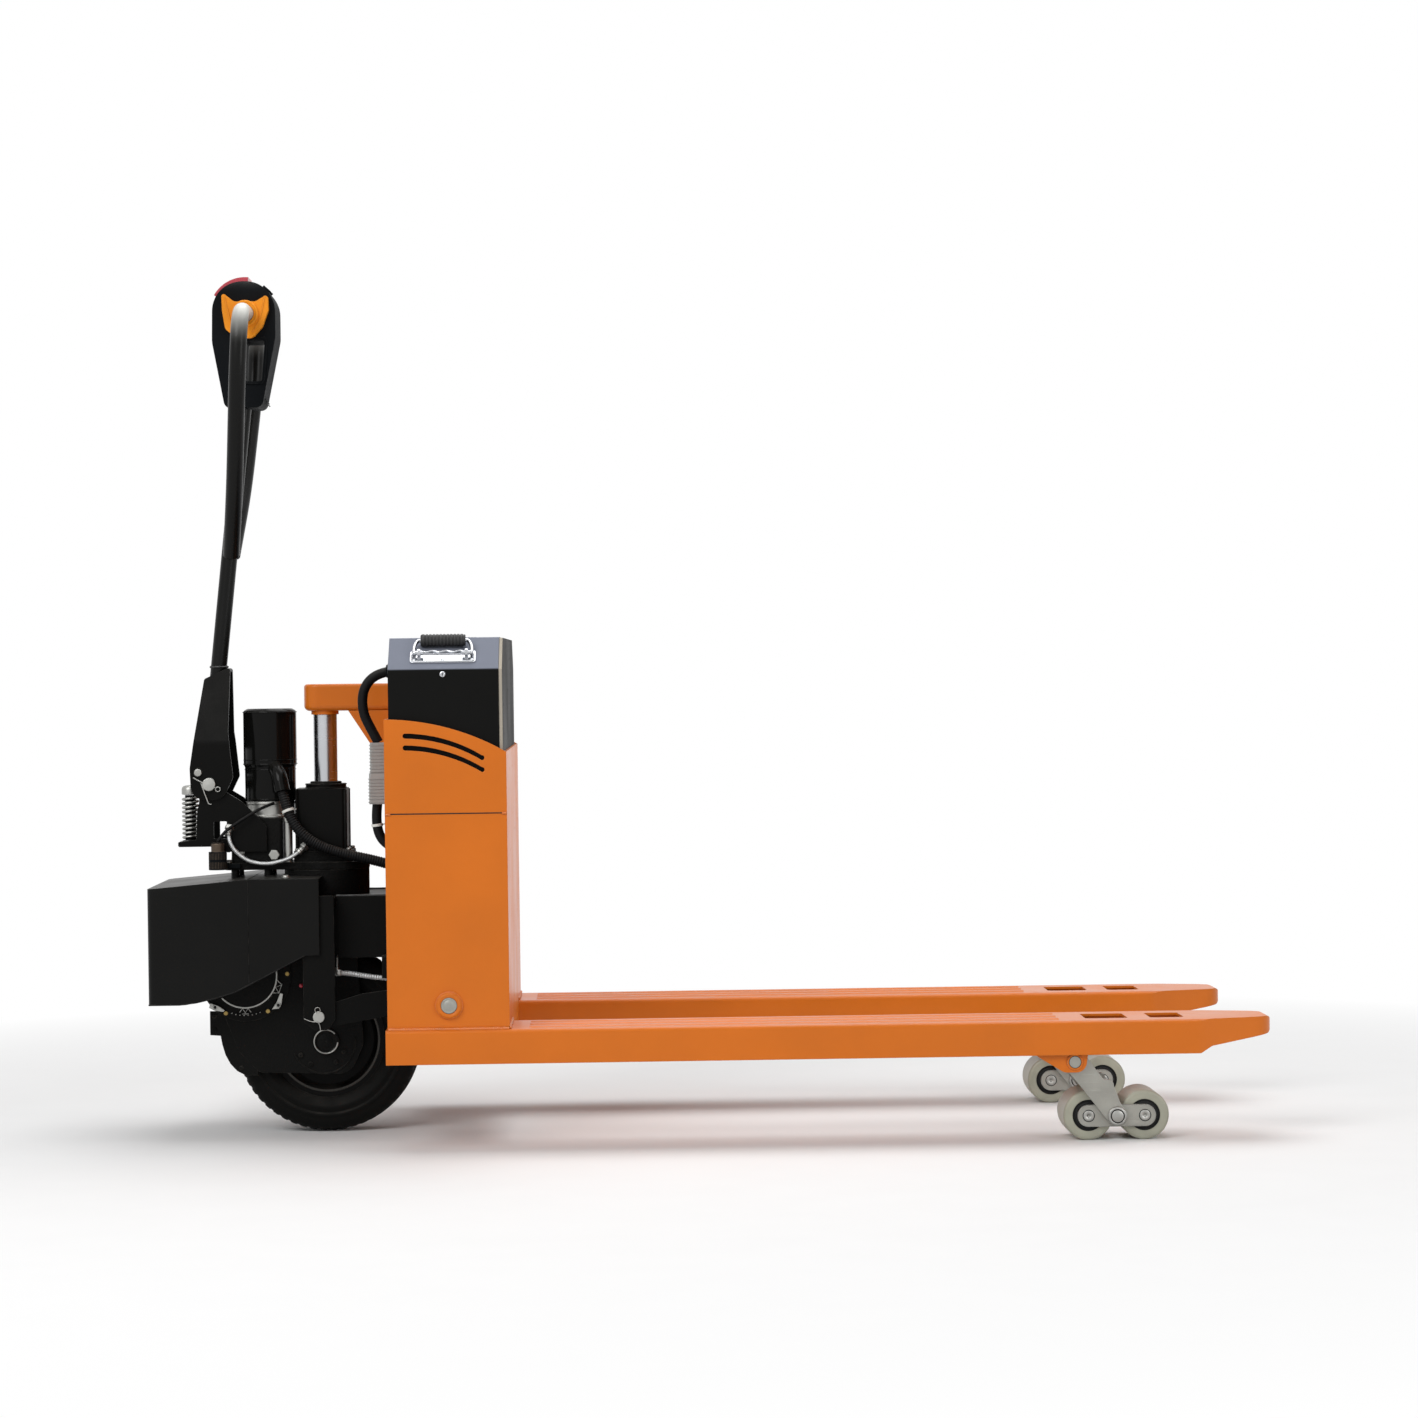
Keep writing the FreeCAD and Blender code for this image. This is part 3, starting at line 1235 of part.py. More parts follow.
def make_clevis():
    outline = [
        (SHELF_REAR_X, SHELF_BOTTOM_Z, 3),
        (SHELF_REAR_X, SPRING_LOW, 2),
        (-213, SPRING_LOW + 4, 2),
        (-211, 540, 10),
        (TILLER_X - CLEVIS_EYE, 556, 8),
        (TILLER_X - CLEVIS_EYE, TILLER_Z + CLEVIS_EYE, CLEVIS_EYE - 0.1),
        (TILLER_X + CLEVIS_EYE, TILLER_Z + CLEVIS_EYE, CLEVIS_EYE - 0.1),
        (TILLER_X + CLEVIS_EYE, 578, 6),
        (-137, 556, 12),
        (-96, 515, 6),
        (-96, 472),
        (-186, 472),
        (-186, SHELF_BOTTOM_Z),
    ]
    plate = plate_y(outline, CLEVIS_IN_Y, CLEVIS_OUT_Y)
    window = plate_y(
        [(-184, 494, 2), (-162, 494, 2), (-162, 523, 2), (-184, 523, 2)],
        CLEVIS_IN_Y - 1,
        CLEVIS_OUT_Y + 1,
    )
    bore = cyl_y(TILLER_X, TILLER_Z, TILLER_PIN_RADIUS, CLEVIS_IN_Y - 1, CLEVIS_OUT_Y + 1)
    plate = plate.cut(window).cut(bore)
    shelf = box(SHELF_REAR_X, -200, -CLEVIS_IN_Y, CLEVIS_IN_Y, SHELF_BOTTOM_Z, SPRING_LOW)
    write("tiller_clevis", fused(shelf, *both_sides(plate)))
    pin = cyl_y(TILLER_X, TILLER_Z, TILLER_PIN_RADIUS, -TILLER_OUT_Y - 4, TILLER_OUT_Y + 4)
    write("tiller_pin", pin)


def make_spring():
    """The return spring: a ribbed column of six coils under a domed cap."""
    coils = 6
    pitch = (SPRING_HIGH - 14 - SPRING_LOW) / coils
    points = [(8.0, SPRING_LOW)]
    for i in range(coils):
        z = SPRING_LOW + i * pitch
        points += [
            (SPRING_RADIUS - 5, z + 1),
            (SPRING_RADIUS, z + 3, 2),
            (SPRING_RADIUS, z + pitch - 5, 2),
            (SPRING_RADIUS - 5, z + pitch - 2),
        ]
    top = SPRING_HIGH - 14
    points += [
        (SPRING_RADIUS - 5, top),
        (SPRING_RADIUS, top + 0.5),
        (SPRING_RADIUS, SPRING_HIGH, 9),
        (8.0, SPRING_HIGH),
    ]
    write("tiller_spring", revolved_z(points, SPRING_X, 0))


# ---------------------------------------------------------------- tiller
TILLER_OUT_Y = TILLER_PLATE_Y + TILLER_PLATE
BRACKET_WAIST = 70.0         # above the tiller pin, where the cheeks turn inwards
BRACKET_NECK = 188.0         # above the tiller pin, where the hollow ends
SHAFT_RADIUS = 13.5
HEAD_X = -122.0
HEAD_Z = 1373.0
HEAD_RADIUS = 52.0
HEAD_FOOT_Z = HEAD_Z - 161
SHAFT_LOW = vec(TILLER_X + 3.1, 0, TILLER_Z + 105)
SHAFT_HIGH = vec(HEAD_X - 5, 0, HEAD_FOOT_Z + 28)
CAM_PIN_X = TILLER_X - 18
CAM_PIN_Z = TILLER_Z + 21


def make_tiller():
    out, inner = TILLER_OUT_Y, TILLER_PLATE_Y
    side = [
        (-30, -26, 25),
        (-32, 27, 14),
        (-9, 176, 5),
        (34, 196, 4),
        (32, 87, 10),
        (40, 11, 10),
        (22, -26, 24),
    ]
    waist, neck = TILLER_Z + BRACKET_WAIST, TILLER_Z + BRACKET_NECK
    low = TILLER_Z - 45
    neck_half = SHAFT_RADIUS + 7.5
    front = [
        (-out, low), (out, low), (out, waist, 30), (neck_half, neck + 12), (-neck_half, neck + 12),
        (-out, waist, 30),
    ]
    neck_half = SHAFT_RADIUS + 2
    cavity = [
        (-inner, low), (inner, low), (inner, waist - 1, 26), (neck_half, neck), (-neck_half, neck),
        (-inner, waist - 1, 26),
    ]
    body = plate_y([(TILLER_X + a, TILLER_Z + b, r) for a, b, r in side], -out, out)
    body = body.common(plate_x(front, TILLER_X - 50, TILLER_X + 70))
    hollow = plate_x(cavity, TILLER_X - 50, TILLER_X + 70)
    back = [(-50, 57), (-26, 57), (-7, BRACKET_NECK), (-50, BRACKET_NECK)]
    back = plate_y([(TILLER_X + a, TILLER_Z + b) for a, b in back], -out, out)
    body = body.cut(hollow.cut(back))
    bore = cyl_y(TILLER_X, TILLER_Z, TILLER_PIN_RADIUS + PIN_GAP, -out - 1, out + 1)
    shaft = tube_between(SHAFT_LOW, SHAFT_HIGH, SHAFT_RADIUS)
    cam = cyl_y(CAM_PIN_X, CAM_PIN_Z, 7, -out - 3, out + 3)
    write("tiller_bracket", fused(body.cut(bore).cut(shaft), cam))
    loop = tube(
        [
            vec(GRIP_X, -HEAD_HALF + 4, GRIP_Z),
            vec(GRIP_X, -LOOP_HALF, GRIP_Z),
            vec(GRIP_X - 6, -LOOP_HALF, GRIP_Z - 118),
            vec(GRIP_X - 20, -LOOP_HALF / 2, GRIP_Z - 290),
            vec(GRIP_X - 34, -6, GRIP_Z - 400),
        ],
        LOOP_TUBE_RADIUS,
    )
    frame = fused(shaft, *both_sides(loop))
    write("tiller_frame", frame)
    return frame


def tube_between(low, high, radius):
    along = high - low
    return Part.makeCylinder(radius, along.Length, low, along)


# ---------------------------------------------------------------- control head
WINDOW_LOW_Z = HEAD_Z - 116
WINDOW_HIGH_Z = HEAD_Z - 48


def sector(r0, r1, a0, a1, y0, y1):
    """A curved block about the control head's axis, from angle a0 to a1."""
    def at(r, a):
        t = math.radians(a)
        return vec(HEAD_X + r * math.cos(t), y0, HEAD_Z + r * math.sin(t))

    am = (a0 + a1) / 2
    edges = [
        Part.Arc(at(r1, a0), at(r1, am), at(r1, a1)).toShape(),
        Part.LineSegment(at(r1, a1), at(r0, a1)).toShape(),
        Part.Arc(at(r0, a1), at(r0, am), at(r0, a0)).toShape(),
        Part.LineSegment(at(r0, a0), at(r1, a0)).toShape(),
    ]
    return Part.Face(Part.Wire(edges)).extrude(vec(0, y1 - y0, 0))


BELLY_FROM = 84.0
BELLY_TO = 150.0
KEY_ANGLE = 48.0
KEY_RADIUS = 8.0
KEY_Y = 20.0


def key(radius, low, high, side):
    """A round push key on the upper slope of the control head."""
    t = math.radians(KEY_ANGLE)
    along = vec(math.cos(t), 0, math.sin(t))
    foot = vec(HEAD_X, side * KEY_Y, HEAD_Z) + along * low
    return Part.makeCylinder(radius, high - low, foot, along)


def make_control_head(frame):
    r = HEAD_RADIUS
    x, z = HEAD_X, HEAD_Z
    outline = [
        (x - r, z + r, r - 0.05),
        (x + r, z + r, r - 0.05),
        (x + r, z - 42, 40),
        (x + 28, HEAD_FOOT_Z + 2, 12),
        (x - 34, HEAD_FOOT_Z, 12),
        (x - r - 2, z - 50, 60),
    ]
    head = plate_y(outline, -HEAD_HALF, HEAD_HALF)
    crown = plate_x(
        [
            (-HEAD_HALF + 4, HEAD_FOOT_Z - 7, 10),
            (HEAD_HALF - 4, HEAD_FOOT_Z - 7, 10),
            (HEAD_HALF, z - 20, 60),
            (HEAD_HALF, z + r + 2, 22),
            (-HEAD_HALF, z + r + 2, 22),
            (-HEAD_HALF, z - 20, 60),
        ],
        x - r - 5,
        x + r + 5,
    )
    head = head.common(crown)
    window = plate_y(
        [
            (x - 5, WINDOW_LOW_Z, 3),
            (x + 28, WINDOW_LOW_Z, 3),
            (x + 34, WINDOW_HIGH_Z, 3),
            (x - 2, WINDOW_HIGH_Z, 3),
        ],
        -HEAD_HALF - 1,
        HEAD_HALF + 1,
    )
    pocket = sector(32, 70, BELLY_FROM - 7, BELLY_TO + 7, -30.6, 30.6)
    head = head.cut(window).cut(pocket).cut(frame)
    for side in (-1, 1):
        head = head.cut(key(KEY_RADIUS + 0.4, 36, 70, side))
    write("control_head", head)
    write("belly_button", sector(38, 59.5, BELLY_FROM, BELLY_TO, -30, 30))
    for name, side in (("raise_key", 1), ("lower_key", -1)):
        write(name, key(KEY_RADIUS, 41.5, 55.5, side))


def make_butterfly():
    """The thumb switch: a winged disc on each side of the control head."""
    outline = [
        (-39, 37, 4),
        (-18, 20, 12),
        (18, 20, 12),
        (38, 32, 4),
        (39, 6, 8),
        (29, -22, 12),
        (12, -41, 14),
        (-14, -41, 14),
        (-33, -26, 12),
        (-38, 5, 10),
    ]
    y0 = HEAD_HALF + SIDE_GAP
    wing = plate_y([(GRIP_X + a, GRIP_Z + b, c) for a, b, c in outline], y0, y0 + 13)
    bore = cyl_y(GRIP_X, GRIP_Z, LOOP_TUBE_RADIUS + 0.4, y0 - 1, y0 + 14)
    write("thumb_switch", *both_sides(wing.cut(bore)))


def main():
    make_forks()
    make_tower()
    make_holder()
    make_battery()
    make_handles()
    make_arm()
    make_leads()
    make_carrier()
    make_rocker()
    make_rods()
    make_running_gear()
    make_wheel()
    make_drive()
    make_head_block()
    make_pump()
    make_head_leads()
    make_hood()
    make_clevis()
    make_spring()
    make_control_head(make_tiller())
    make_butterfly()
    print("lift pin travel", round(ROD_TRAVEL, 2), "yoke swing", round(YOKE_SWING, 2))


main()
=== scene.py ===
import math
import bmesh
import bpy
from bpy.props import FloatProperty, FloatVectorProperty, IntProperty
from mathutils import Matrix, Vector


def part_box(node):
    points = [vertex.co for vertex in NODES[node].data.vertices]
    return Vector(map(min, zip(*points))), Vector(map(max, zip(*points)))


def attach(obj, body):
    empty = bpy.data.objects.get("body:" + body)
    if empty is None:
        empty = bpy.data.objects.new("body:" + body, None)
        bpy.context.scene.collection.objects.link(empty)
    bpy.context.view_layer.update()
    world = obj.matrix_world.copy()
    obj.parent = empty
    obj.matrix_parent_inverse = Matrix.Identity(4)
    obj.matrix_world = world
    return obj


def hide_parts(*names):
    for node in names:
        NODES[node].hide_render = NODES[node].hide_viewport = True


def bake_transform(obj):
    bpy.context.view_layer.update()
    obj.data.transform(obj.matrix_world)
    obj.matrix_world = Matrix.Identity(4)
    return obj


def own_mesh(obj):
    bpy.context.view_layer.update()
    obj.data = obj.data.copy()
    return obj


bl_info = {
    "name": "Electric pallet truck",
    "version": (1, 0, 0),
    "blender": (4, 5, 0),
    "location": "View3D > Sidebar > Pallet truck",
    "description": "Finishes and detail for an electric pallet truck",
    "category": "Object",
}

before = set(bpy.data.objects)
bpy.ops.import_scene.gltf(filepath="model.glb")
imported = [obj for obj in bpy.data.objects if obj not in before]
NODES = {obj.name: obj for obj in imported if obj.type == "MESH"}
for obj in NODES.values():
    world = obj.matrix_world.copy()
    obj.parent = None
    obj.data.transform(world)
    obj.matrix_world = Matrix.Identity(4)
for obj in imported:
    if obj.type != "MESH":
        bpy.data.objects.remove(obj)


# ---------------------------------------------------------------- places, in millimetres
SIDES = (("right", -1), ("left", 1))
ALONG, UP = (1, 0, 0), (0, 0, 1)
WHEEL_Z = 155
LEAD_Y = -200
MOTOR_X, MOTOR_Z = -133, 266
PUMP_X = -93
HUB_X, HUB_Z = -119, 1368.5
CASE_Y, CASE_FOLD_Z = 326, 772
TOWER_Y, TOWER_SEAM_Z = 335, 541
SHAFT_X, SHAFT_Z = 217.5, 235
FORK_Y = 262.5
YOKE_X, YOKE_Z = 1219, 129
ROLLER_Z = 40
LINK_REACH = 112.4
BOGIE_X = YOKE_X + math.sqrt(LINK_REACH ** 2 - (YOKE_Z - ROLLER_Z) ** 2)
BOGIE_HALF = 45.5


def axle_x():
    low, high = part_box("drive_tyre")
    return ((low + high) / 2).x


AXLE_X = axle_x()


def at(x, y, z):
    """A point from millimetres forward of the drive axle, left of the middle and above the floor."""
    return Vector((AXLE_X + x / 1000, y / 1000, z / 1000))


def turns(count):
    """Angles once round a circle, in radians."""
    return [math.tau * k / count for k in range(count)]


def upright_arc(x, y, z, radius, angles):
    """Points on a circle that faces sideways."""
    return [at(x + radius * math.cos(t), y, z + radius * math.sin(t)) for t in angles]


def level_arc(x, z, radius, angles):
    """Points on a level circle about the truck's middle."""
    return [at(x + radius * math.cos(t), radius * math.sin(t), z) for t in angles]


def paint(red, green, blue):
    """A linear colour from the 0 to 255 values of a paint chart."""
    out = []
    for value in (red, green, blue):
        v = value / 255
        out.append(v / 12.92 if v <= 0.04045 else ((v + 0.055) / 1.055) ** 2.4)
    return tuple(out)


# ---------------------------------------------------------------- settings
def colour(name, words, value):
    return FloatVectorProperty(
        name=name, description=words, default=value, size=3, min=0, max=1, subtype="COLOR"
    )


def size(name, words, value, low=0.0, high=10.0):
    return FloatProperty(
        name=name, description=words, default=value, min=low, max=high,
        precision=4, subtype="DISTANCE", unit="LENGTH",
    )


def share(name, words, value):
    return FloatProperty(
        name=name, description=words, default=value, min=0, max=1, subtype="FACTOR"
    )


def power(name, words, value):
    return FloatProperty(name=name, description=words, default=value, min=0, unit="POWER")


class TruckFinish(bpy.types.PropertyGroup):
    enamel: colour("Enamel", "Orange enamel of the load side", paint(205, 107, 22))
    enamel_edge: colour("Enamel edge", "Thin enamel along the edges", paint(226, 140, 70))
    black: colour("Black enamel", "Satin black of the drive head", paint(13, 13, 12))
    casting: colour("Casting", "Painted cast iron", paint(14, 14, 13))
    plastic: colour("Plastic", "Moulded black plastic", paint(19, 21, 23))
    rubber: colour("Rubber", "Hose and lead rubber", paint(18, 18, 19))
    tyre: colour("Tyre", "Tyre rubber", paint(19, 19, 18))
    zinc: colour("Zinc", "Zinc plated steel", paint(160, 160, 156))
    chrome: colour("Chrome", "Bright chrome", paint(186, 188, 192))
    roller: colour("Roller", "Cast polyurethane of the load rollers", paint(158, 158, 142))
    grey: colour("Grey plastic", "Connector and end strip", paint(150, 150, 148))
    red: colour("Red", "Belly button", paint(186, 38, 58))
    amber: colour("Amber", "Thumb switch", paint(228, 140, 30))
    brass: colour("Brass", "Cover screws", paint(150, 128, 78))
    tie: colour("Tie", "Natural nylon ties", paint(222, 222, 216))
    strip: colour("End strip", "Beige seal between the case and its end", paint(168, 160, 146))
    braid: colour("Braid", "Steel braid of the oil hose", paint(188, 190, 190))
    brown: colour("Gland", "Aged nickel of the cable gland", paint(78, 66, 54))
    worn_steel: colour("Worn steel", "Link plates and yokes", paint(150, 149, 142))
    rim: colour("Rim lip", "Rubbed lip of the drive wheel's rim", paint(52, 50, 47))
    wear_width: size("Wear width", "How far wear reaches in from an edge", 0.0018, 0.0002, 0.01)
    dust: share("Dust", "How much dust lies on upward faces", 0.16)


class TruckDetail(bpy.types.PropertyGroup):
    weld: size("Weld", "Half width of a weld bead", 0.003, 0.001, 0.01)
    tread_depth: size("Tread depth", "Depth of the tyre's grooves", 0.0016, 0.001, 0.01)
    tread_count: IntProperty(
        name="Tread blocks", description="Blocks round the tyre", default=56, min=20, max=120
    )
    rib_pitch: size("Rib pitch", "Pitch of the corrugated hose", 0.0042, 0.002, 0.01)
    tie_width: size("Tie width", "Width of a nylon tie", 0.0045, 0.002, 0.01)


class TruckStudio(bpy.types.PropertyGroup):
    lens: FloatProperty(
        name="Lens", description="Focal length", default=95.28, min=20, max=300, unit="CAMERA"
    )
    camera_place: FloatVectorProperty(
        name="Camera place", description="Where the camera stands", size=3,
        default=(-0.1336, -6.332, 0.7647), subtype="TRANSLATION", unit="LENGTH",
    )
    camera_turn: FloatVectorProperty(
        name="Camera turn", description="Tilt, roll and pan away from level", size=3,
        default=tuple(math.radians(a) for a in (-0.589, -0.728, -1.369)), subtype="EULER",
    )
    key_power: power("Key lamp", "Power of the large lamp", 125)
    fill_power: power("Fill lamp", "Power of the fill lamp", 46)
    top_power: power("Top lamp", "Power of the overhead lamp", 85)
    sky: FloatProperty(
        name="Sky", description="Strength of the even light", default=0.31, min=0, max=2
    )
    floor: colour("Floor", "Colour of the floor", paint(238, 238, 238))


def finish_settings():
    return bpy.context.scene.truck_finish


def detail_settings():
    return bpy.context.scene.truck_detail


def studio_settings():
    return bpy.context.scene.truck_studio


# ---------------------------------------------------------------- node trees
class Graph:
    """A node tree with short calls that add and join nodes."""

    def __init__(self, tree):
        self.tree = tree
        tree.nodes.clear()

    def feed(self, socket, value):
        """Joins a socket to another one, or sets its value."""
        if isinstance(value, bpy.types.NodeSocket):
            self.tree.links.new(value, socket)
        else:
            socket.default_value = value

    def add(self, kind, inputs=None, **values):
        node = self.tree.nodes.new(kind)
        for key, value in values.items():
            setattr(node, key, value)
        for key, value in (inputs or {}).items():
            self.feed(node.inputs[key], value)
        return node

    def math(self, operation, a, b=0.0, clamp=False):
        node = self.add("ShaderNodeMath", {0: a, 1: b}, operation=operation, use_clamp=clamp)
        return node.outputs[0]

    def times(self, a, b, clamp=False):
        return self.math("MULTIPLY", a, b, clamp)

    def mix(self, factor, a, b):
        node = self.add("ShaderNodeMix", {"Factor": factor}, data_type="RGBA")
        for index, value in ((6, a), (7, b)):
            joined = isinstance(value, bpy.types.NodeSocket)
            self.feed(node.inputs[index], value if joined else tuple(value)[:3] + (1.0,))
        return node.outputs[2]

    def remap(self, value, low, high, to_low=0.0, to_high=1.0):
        names = {"Value": value, "From Min": low, "From Max": high, "To Min": to_low, "To Max": to_high}
        return self.add("ShaderNodeMapRange", names).outputs[0]

    def group(self, name, inputs):
        return self.add("ShaderNodeGroup", inputs, node_tree=group_tree(name)).outputs

    def noise(self, place, scale, detail, **more):
        inputs = {"Vector": place, "Scale": scale, "Detail": detail, **more}
        return self.add("ShaderNodeTexNoise", inputs).outputs[0]

    def place(self):
        return self.add("ShaderNodeTexCoord").outputs["Object"]

    def normal(self):
        return self.add("ShaderNodeNewGeometry").outputs["Normal"]

    def part(self, vector, axis):
        return self.add("ShaderNodeSeparateXYZ", {0: vector}).outputs[axis]

    def seen(self):
        """One where a surface is seen by the camera, in a reflection or through glass."""
        path = self.add("ShaderNodeLightPath").outputs
        seen = self.math("MAXIMUM", path["Is Camera Ray"], path["Is Glossy Ray"])
        return self.math("MAXIMUM", seen, path["Is Transmission Ray"])


def new_group(name, inputs, outputs):
    """A shader node group with its sockets; returns its graph, its inputs and its output sockets."""
    tree = bpy.data.node_groups.new(name, "ShaderNodeTree")
    for label, kind, value in inputs:
        socket = tree.interface.new_socket(label, in_out="INPUT", socket_type=kind)
        socket.default_value = value
    for label, kind in outputs:
        tree.interface.new_socket(label, in_out="OUTPUT", socket_type=kind)
    graph = Graph(tree)
    entry = graph.add("NodeGroupInput")
    return graph, entry.outputs, graph.add("NodeGroupOutput").inputs


FLOAT = "NodeSocketFloat"
COLOUR = "NodeSocketColor"
VECTOR = "NodeSocketVector"


def edge_wear_group():
    """A mask that is high on outward edges, broken up by a noise."""
    graph, given, leave = new_group(
        "edge wear",
        [("Width", FLOAT, 0.002), ("Amount", FLOAT, 1.0), ("Break-up", FLOAT, 60.0)],
        [("Mask", FLOAT), ("Rounded normal", VECTOR)],
    )
    rounded = graph.add("ShaderNodeBevel", {"Radius": given["Width"]}, samples=4).outputs[0]
    agree = graph.add("ShaderNodeVectorMath", {0: rounded, 1: graph.normal()}, operation="DOT_PRODUCT")
    sharp = graph.remap(agree.outputs["Value"], 0.985, 0.8)
    broken = graph.remap(graph.noise(graph.place(), given["Break-up"], 6.0), 0.38, 0.62)
    graph.feed(leave["Mask"], graph.times(graph.times(sharp, broken), given["Amount"], clamp=True))
    graph.feed(leave["Rounded normal"], rounded)
    return graph.tree


def mottle_group():
    """Slow and quick variation of one surface: blotches, fine grain and faint scuffs."""
    graph, given, leave = new_group(
        "surface variation",
        [("Blotch scale", FLOAT, 6.0), ("Grain scale", FLOAT, 900.0), ("Scuff scale", FLOAT, 14.0)],
        [("Blotch", FLOAT), ("Grain", FLOAT), ("Scuff", FLOAT)],
    )
    place = graph.place()
    stretch = {"Vector": place, "Rotation": (0.6, 0.5, 0.4), "Scale": (1.0, 1.0, 9.0)}
    turned_place = graph.add("ShaderNodeMapping", stretch).outputs[0]
    scuff = graph.noise(turned_place, given["Scuff scale"], 8.0, Roughness=0.7)
    graph.feed(leave["Blotch"], graph.noise(place, given["Blotch scale"], 5.0))
    graph.feed(leave["Grain"], graph.noise(place, given["Grain scale"], 2.0))
    graph.feed(leave["Scuff"], graph.remap(scuff, 0.58, 0.7))
    return graph.tree


def dust_and_sheen_group():
    """Dust that settles on faces that look up, thicker in patches; on the battery case the same mask also paints sky
    sheen on its upward faces.
    """
    graph, given, leave = new_group(
        "settled dust and sky sheen",
        [("Amount", FLOAT, 0.2), ("Evenness", FLOAT, 0.0), ("Colour", COLOUR, (0.3, 0.28, 0.25, 1)),
         ("Base", COLOUR, (0.5, 0.5, 0.5, 1))],
        [("Colour", COLOUR)],
    )
    flat = graph.remap(graph.part(graph.normal(), 2), 0.2, 0.95)
    patch = graph.remap(graph.noise(graph.place(), 22.0, 7.0), 0.3, 0.72)
    patch = graph.math("MAXIMUM", patch, given["Evenness"])
    mask = graph.times(graph.times(flat, patch), given["Amount"], clamp=True)
    graph.feed(leave["Colour"], graph.mix(mask, given["Base"], given["Colour"]))
    return graph.tree


def brushed_group():
    """Fine lines drawn along one axis, as a tool or a file leaves them."""
    graph, given, leave = new_group(
        "drawn lines", [("Scale", VECTOR, (900.0, 900.0, 20.0))], [("Value", FLOAT)]
    )
    stretch = {0: graph.place(), 1: given["Scale"]}
    place = graph.add("ShaderNodeVectorMath", stretch, operation="MULTIPLY").outputs[0]
    graph.feed(leave["Value"], graph.noise(place, 1.0, 3.0))
    return graph.tree


MAKERS = {"wear": edge_wear_group, "mottle": mottle_group, "dust": dust_and_sheen_group, "brushed": brushed_group}
GROUPS = {}


def group_tree(name):
    if name not in GROUPS:
        GROUPS[name] = MAKERS[name]()
    return GROUPS[name]


# ---------------------------------------------------------------- finishes
def dim(tint, factor):
    return tuple(c * factor for c in tint[:3]) + (1.0,)


def material(name, tint, rough, metal=0.0, coat=0.0, worn=None, wear=0.0, blotch=0.08, scale=7.0,
             grain=0.02, grain_scale=900.0, scuff=0.1, dust=0.0, lines=None, spread=0.06, shine=0.5,
             dust_and_sheen_tint=(0.3, 0.28, 0.25), even=0.0, front=None, highlight_heights=None):
    """One surface finish: colour, wear, variation, roughness and bump.

    worn is the colour along the edges, blotch how much the colour drifts, grain the bump,
    spread how much the roughness drifts, lines the scale of drawn lines, front the
    colour of the faces that look along the forks and highlight_heights the heights between which
    a painted highlight lightens the colour towards the top of the piece."""
    settings = finish_settings()
    made = bpy.data.materials.new(name)
    made.use_nodes = True
    graph = Graph(made.node_tree)
    fixed = {"Metallic": metal, "Specular IOR Level": shine, "Coat Weight": coat, "Coat Roughness": 0.12}
    surface = graph.add("ShaderNodeBsdfPrincipled", fixed)
    graph.add("ShaderNodeOutputMaterial", {0: surface.outputs[0]})
    vary = graph.group("mottle", {"Blotch scale": scale, "Grain scale": grain_scale})
    drift = graph.remap(vary["Blotch"], 0.3, 0.7)
    base = graph.mix(drift, dim(tint, 1 - blotch), dim(tint, 1 + blotch))
    base = graph.mix(graph.times(vary["Scuff"], scuff), base, dim(tint, 1.0 + 3 * scuff))
    edge = graph.group("wear", {"Width": settings.wear_width, "Amount": wear})
    if worn is not None:
        base = graph.mix(edge["Mask"], base, worn)
    if dust:
        inputs = {"Amount": dust, "Evenness": even, "Base": base, "Colour": tuple(dust_and_sheen_tint) + (1.0,)}
        base = graph.group("dust", inputs)["Colour"]
    if front is not None:
        base = graph.mix(graph.remap(graph.part(graph.normal(), 0), 0.6, 0.8), base, front)
    # Painted highlight: the colour turns light towards the top of the piece, in the tie colour, in place of the
    # reflection on the tiller tube's upper bend.
    if highlight_heights is not None:
        highlight = graph.remap(graph.part(graph.place(), 2), *highlight_heights)
        base = graph.mix(graph.times(highlight, highlight), base, settings.tie)
    graph.feed(surface.inputs["Base Color"], base)
    level = graph.remap(vary["Blotch"], 0.3, 0.7, rough - spread, rough + spread)
    level = graph.math("ADD", level, graph.times(vary["Scuff"], 0.12), clamp=True)
    graph.feed(surface.inputs["Roughness"], level)
    height = vary["Grain"]
    if lines is not None:
        height = graph.group("brushed", {"Scale": lines})["Value"]
    inputs = {"Strength": 0.5, "Distance": grain / 100, "Height": height, "Normal": edge["Rounded normal"]}
    graph.feed(surface.inputs["Normal"], graph.add("ShaderNodeBump", inputs).outputs[0])
    return made


FINISHES = {}


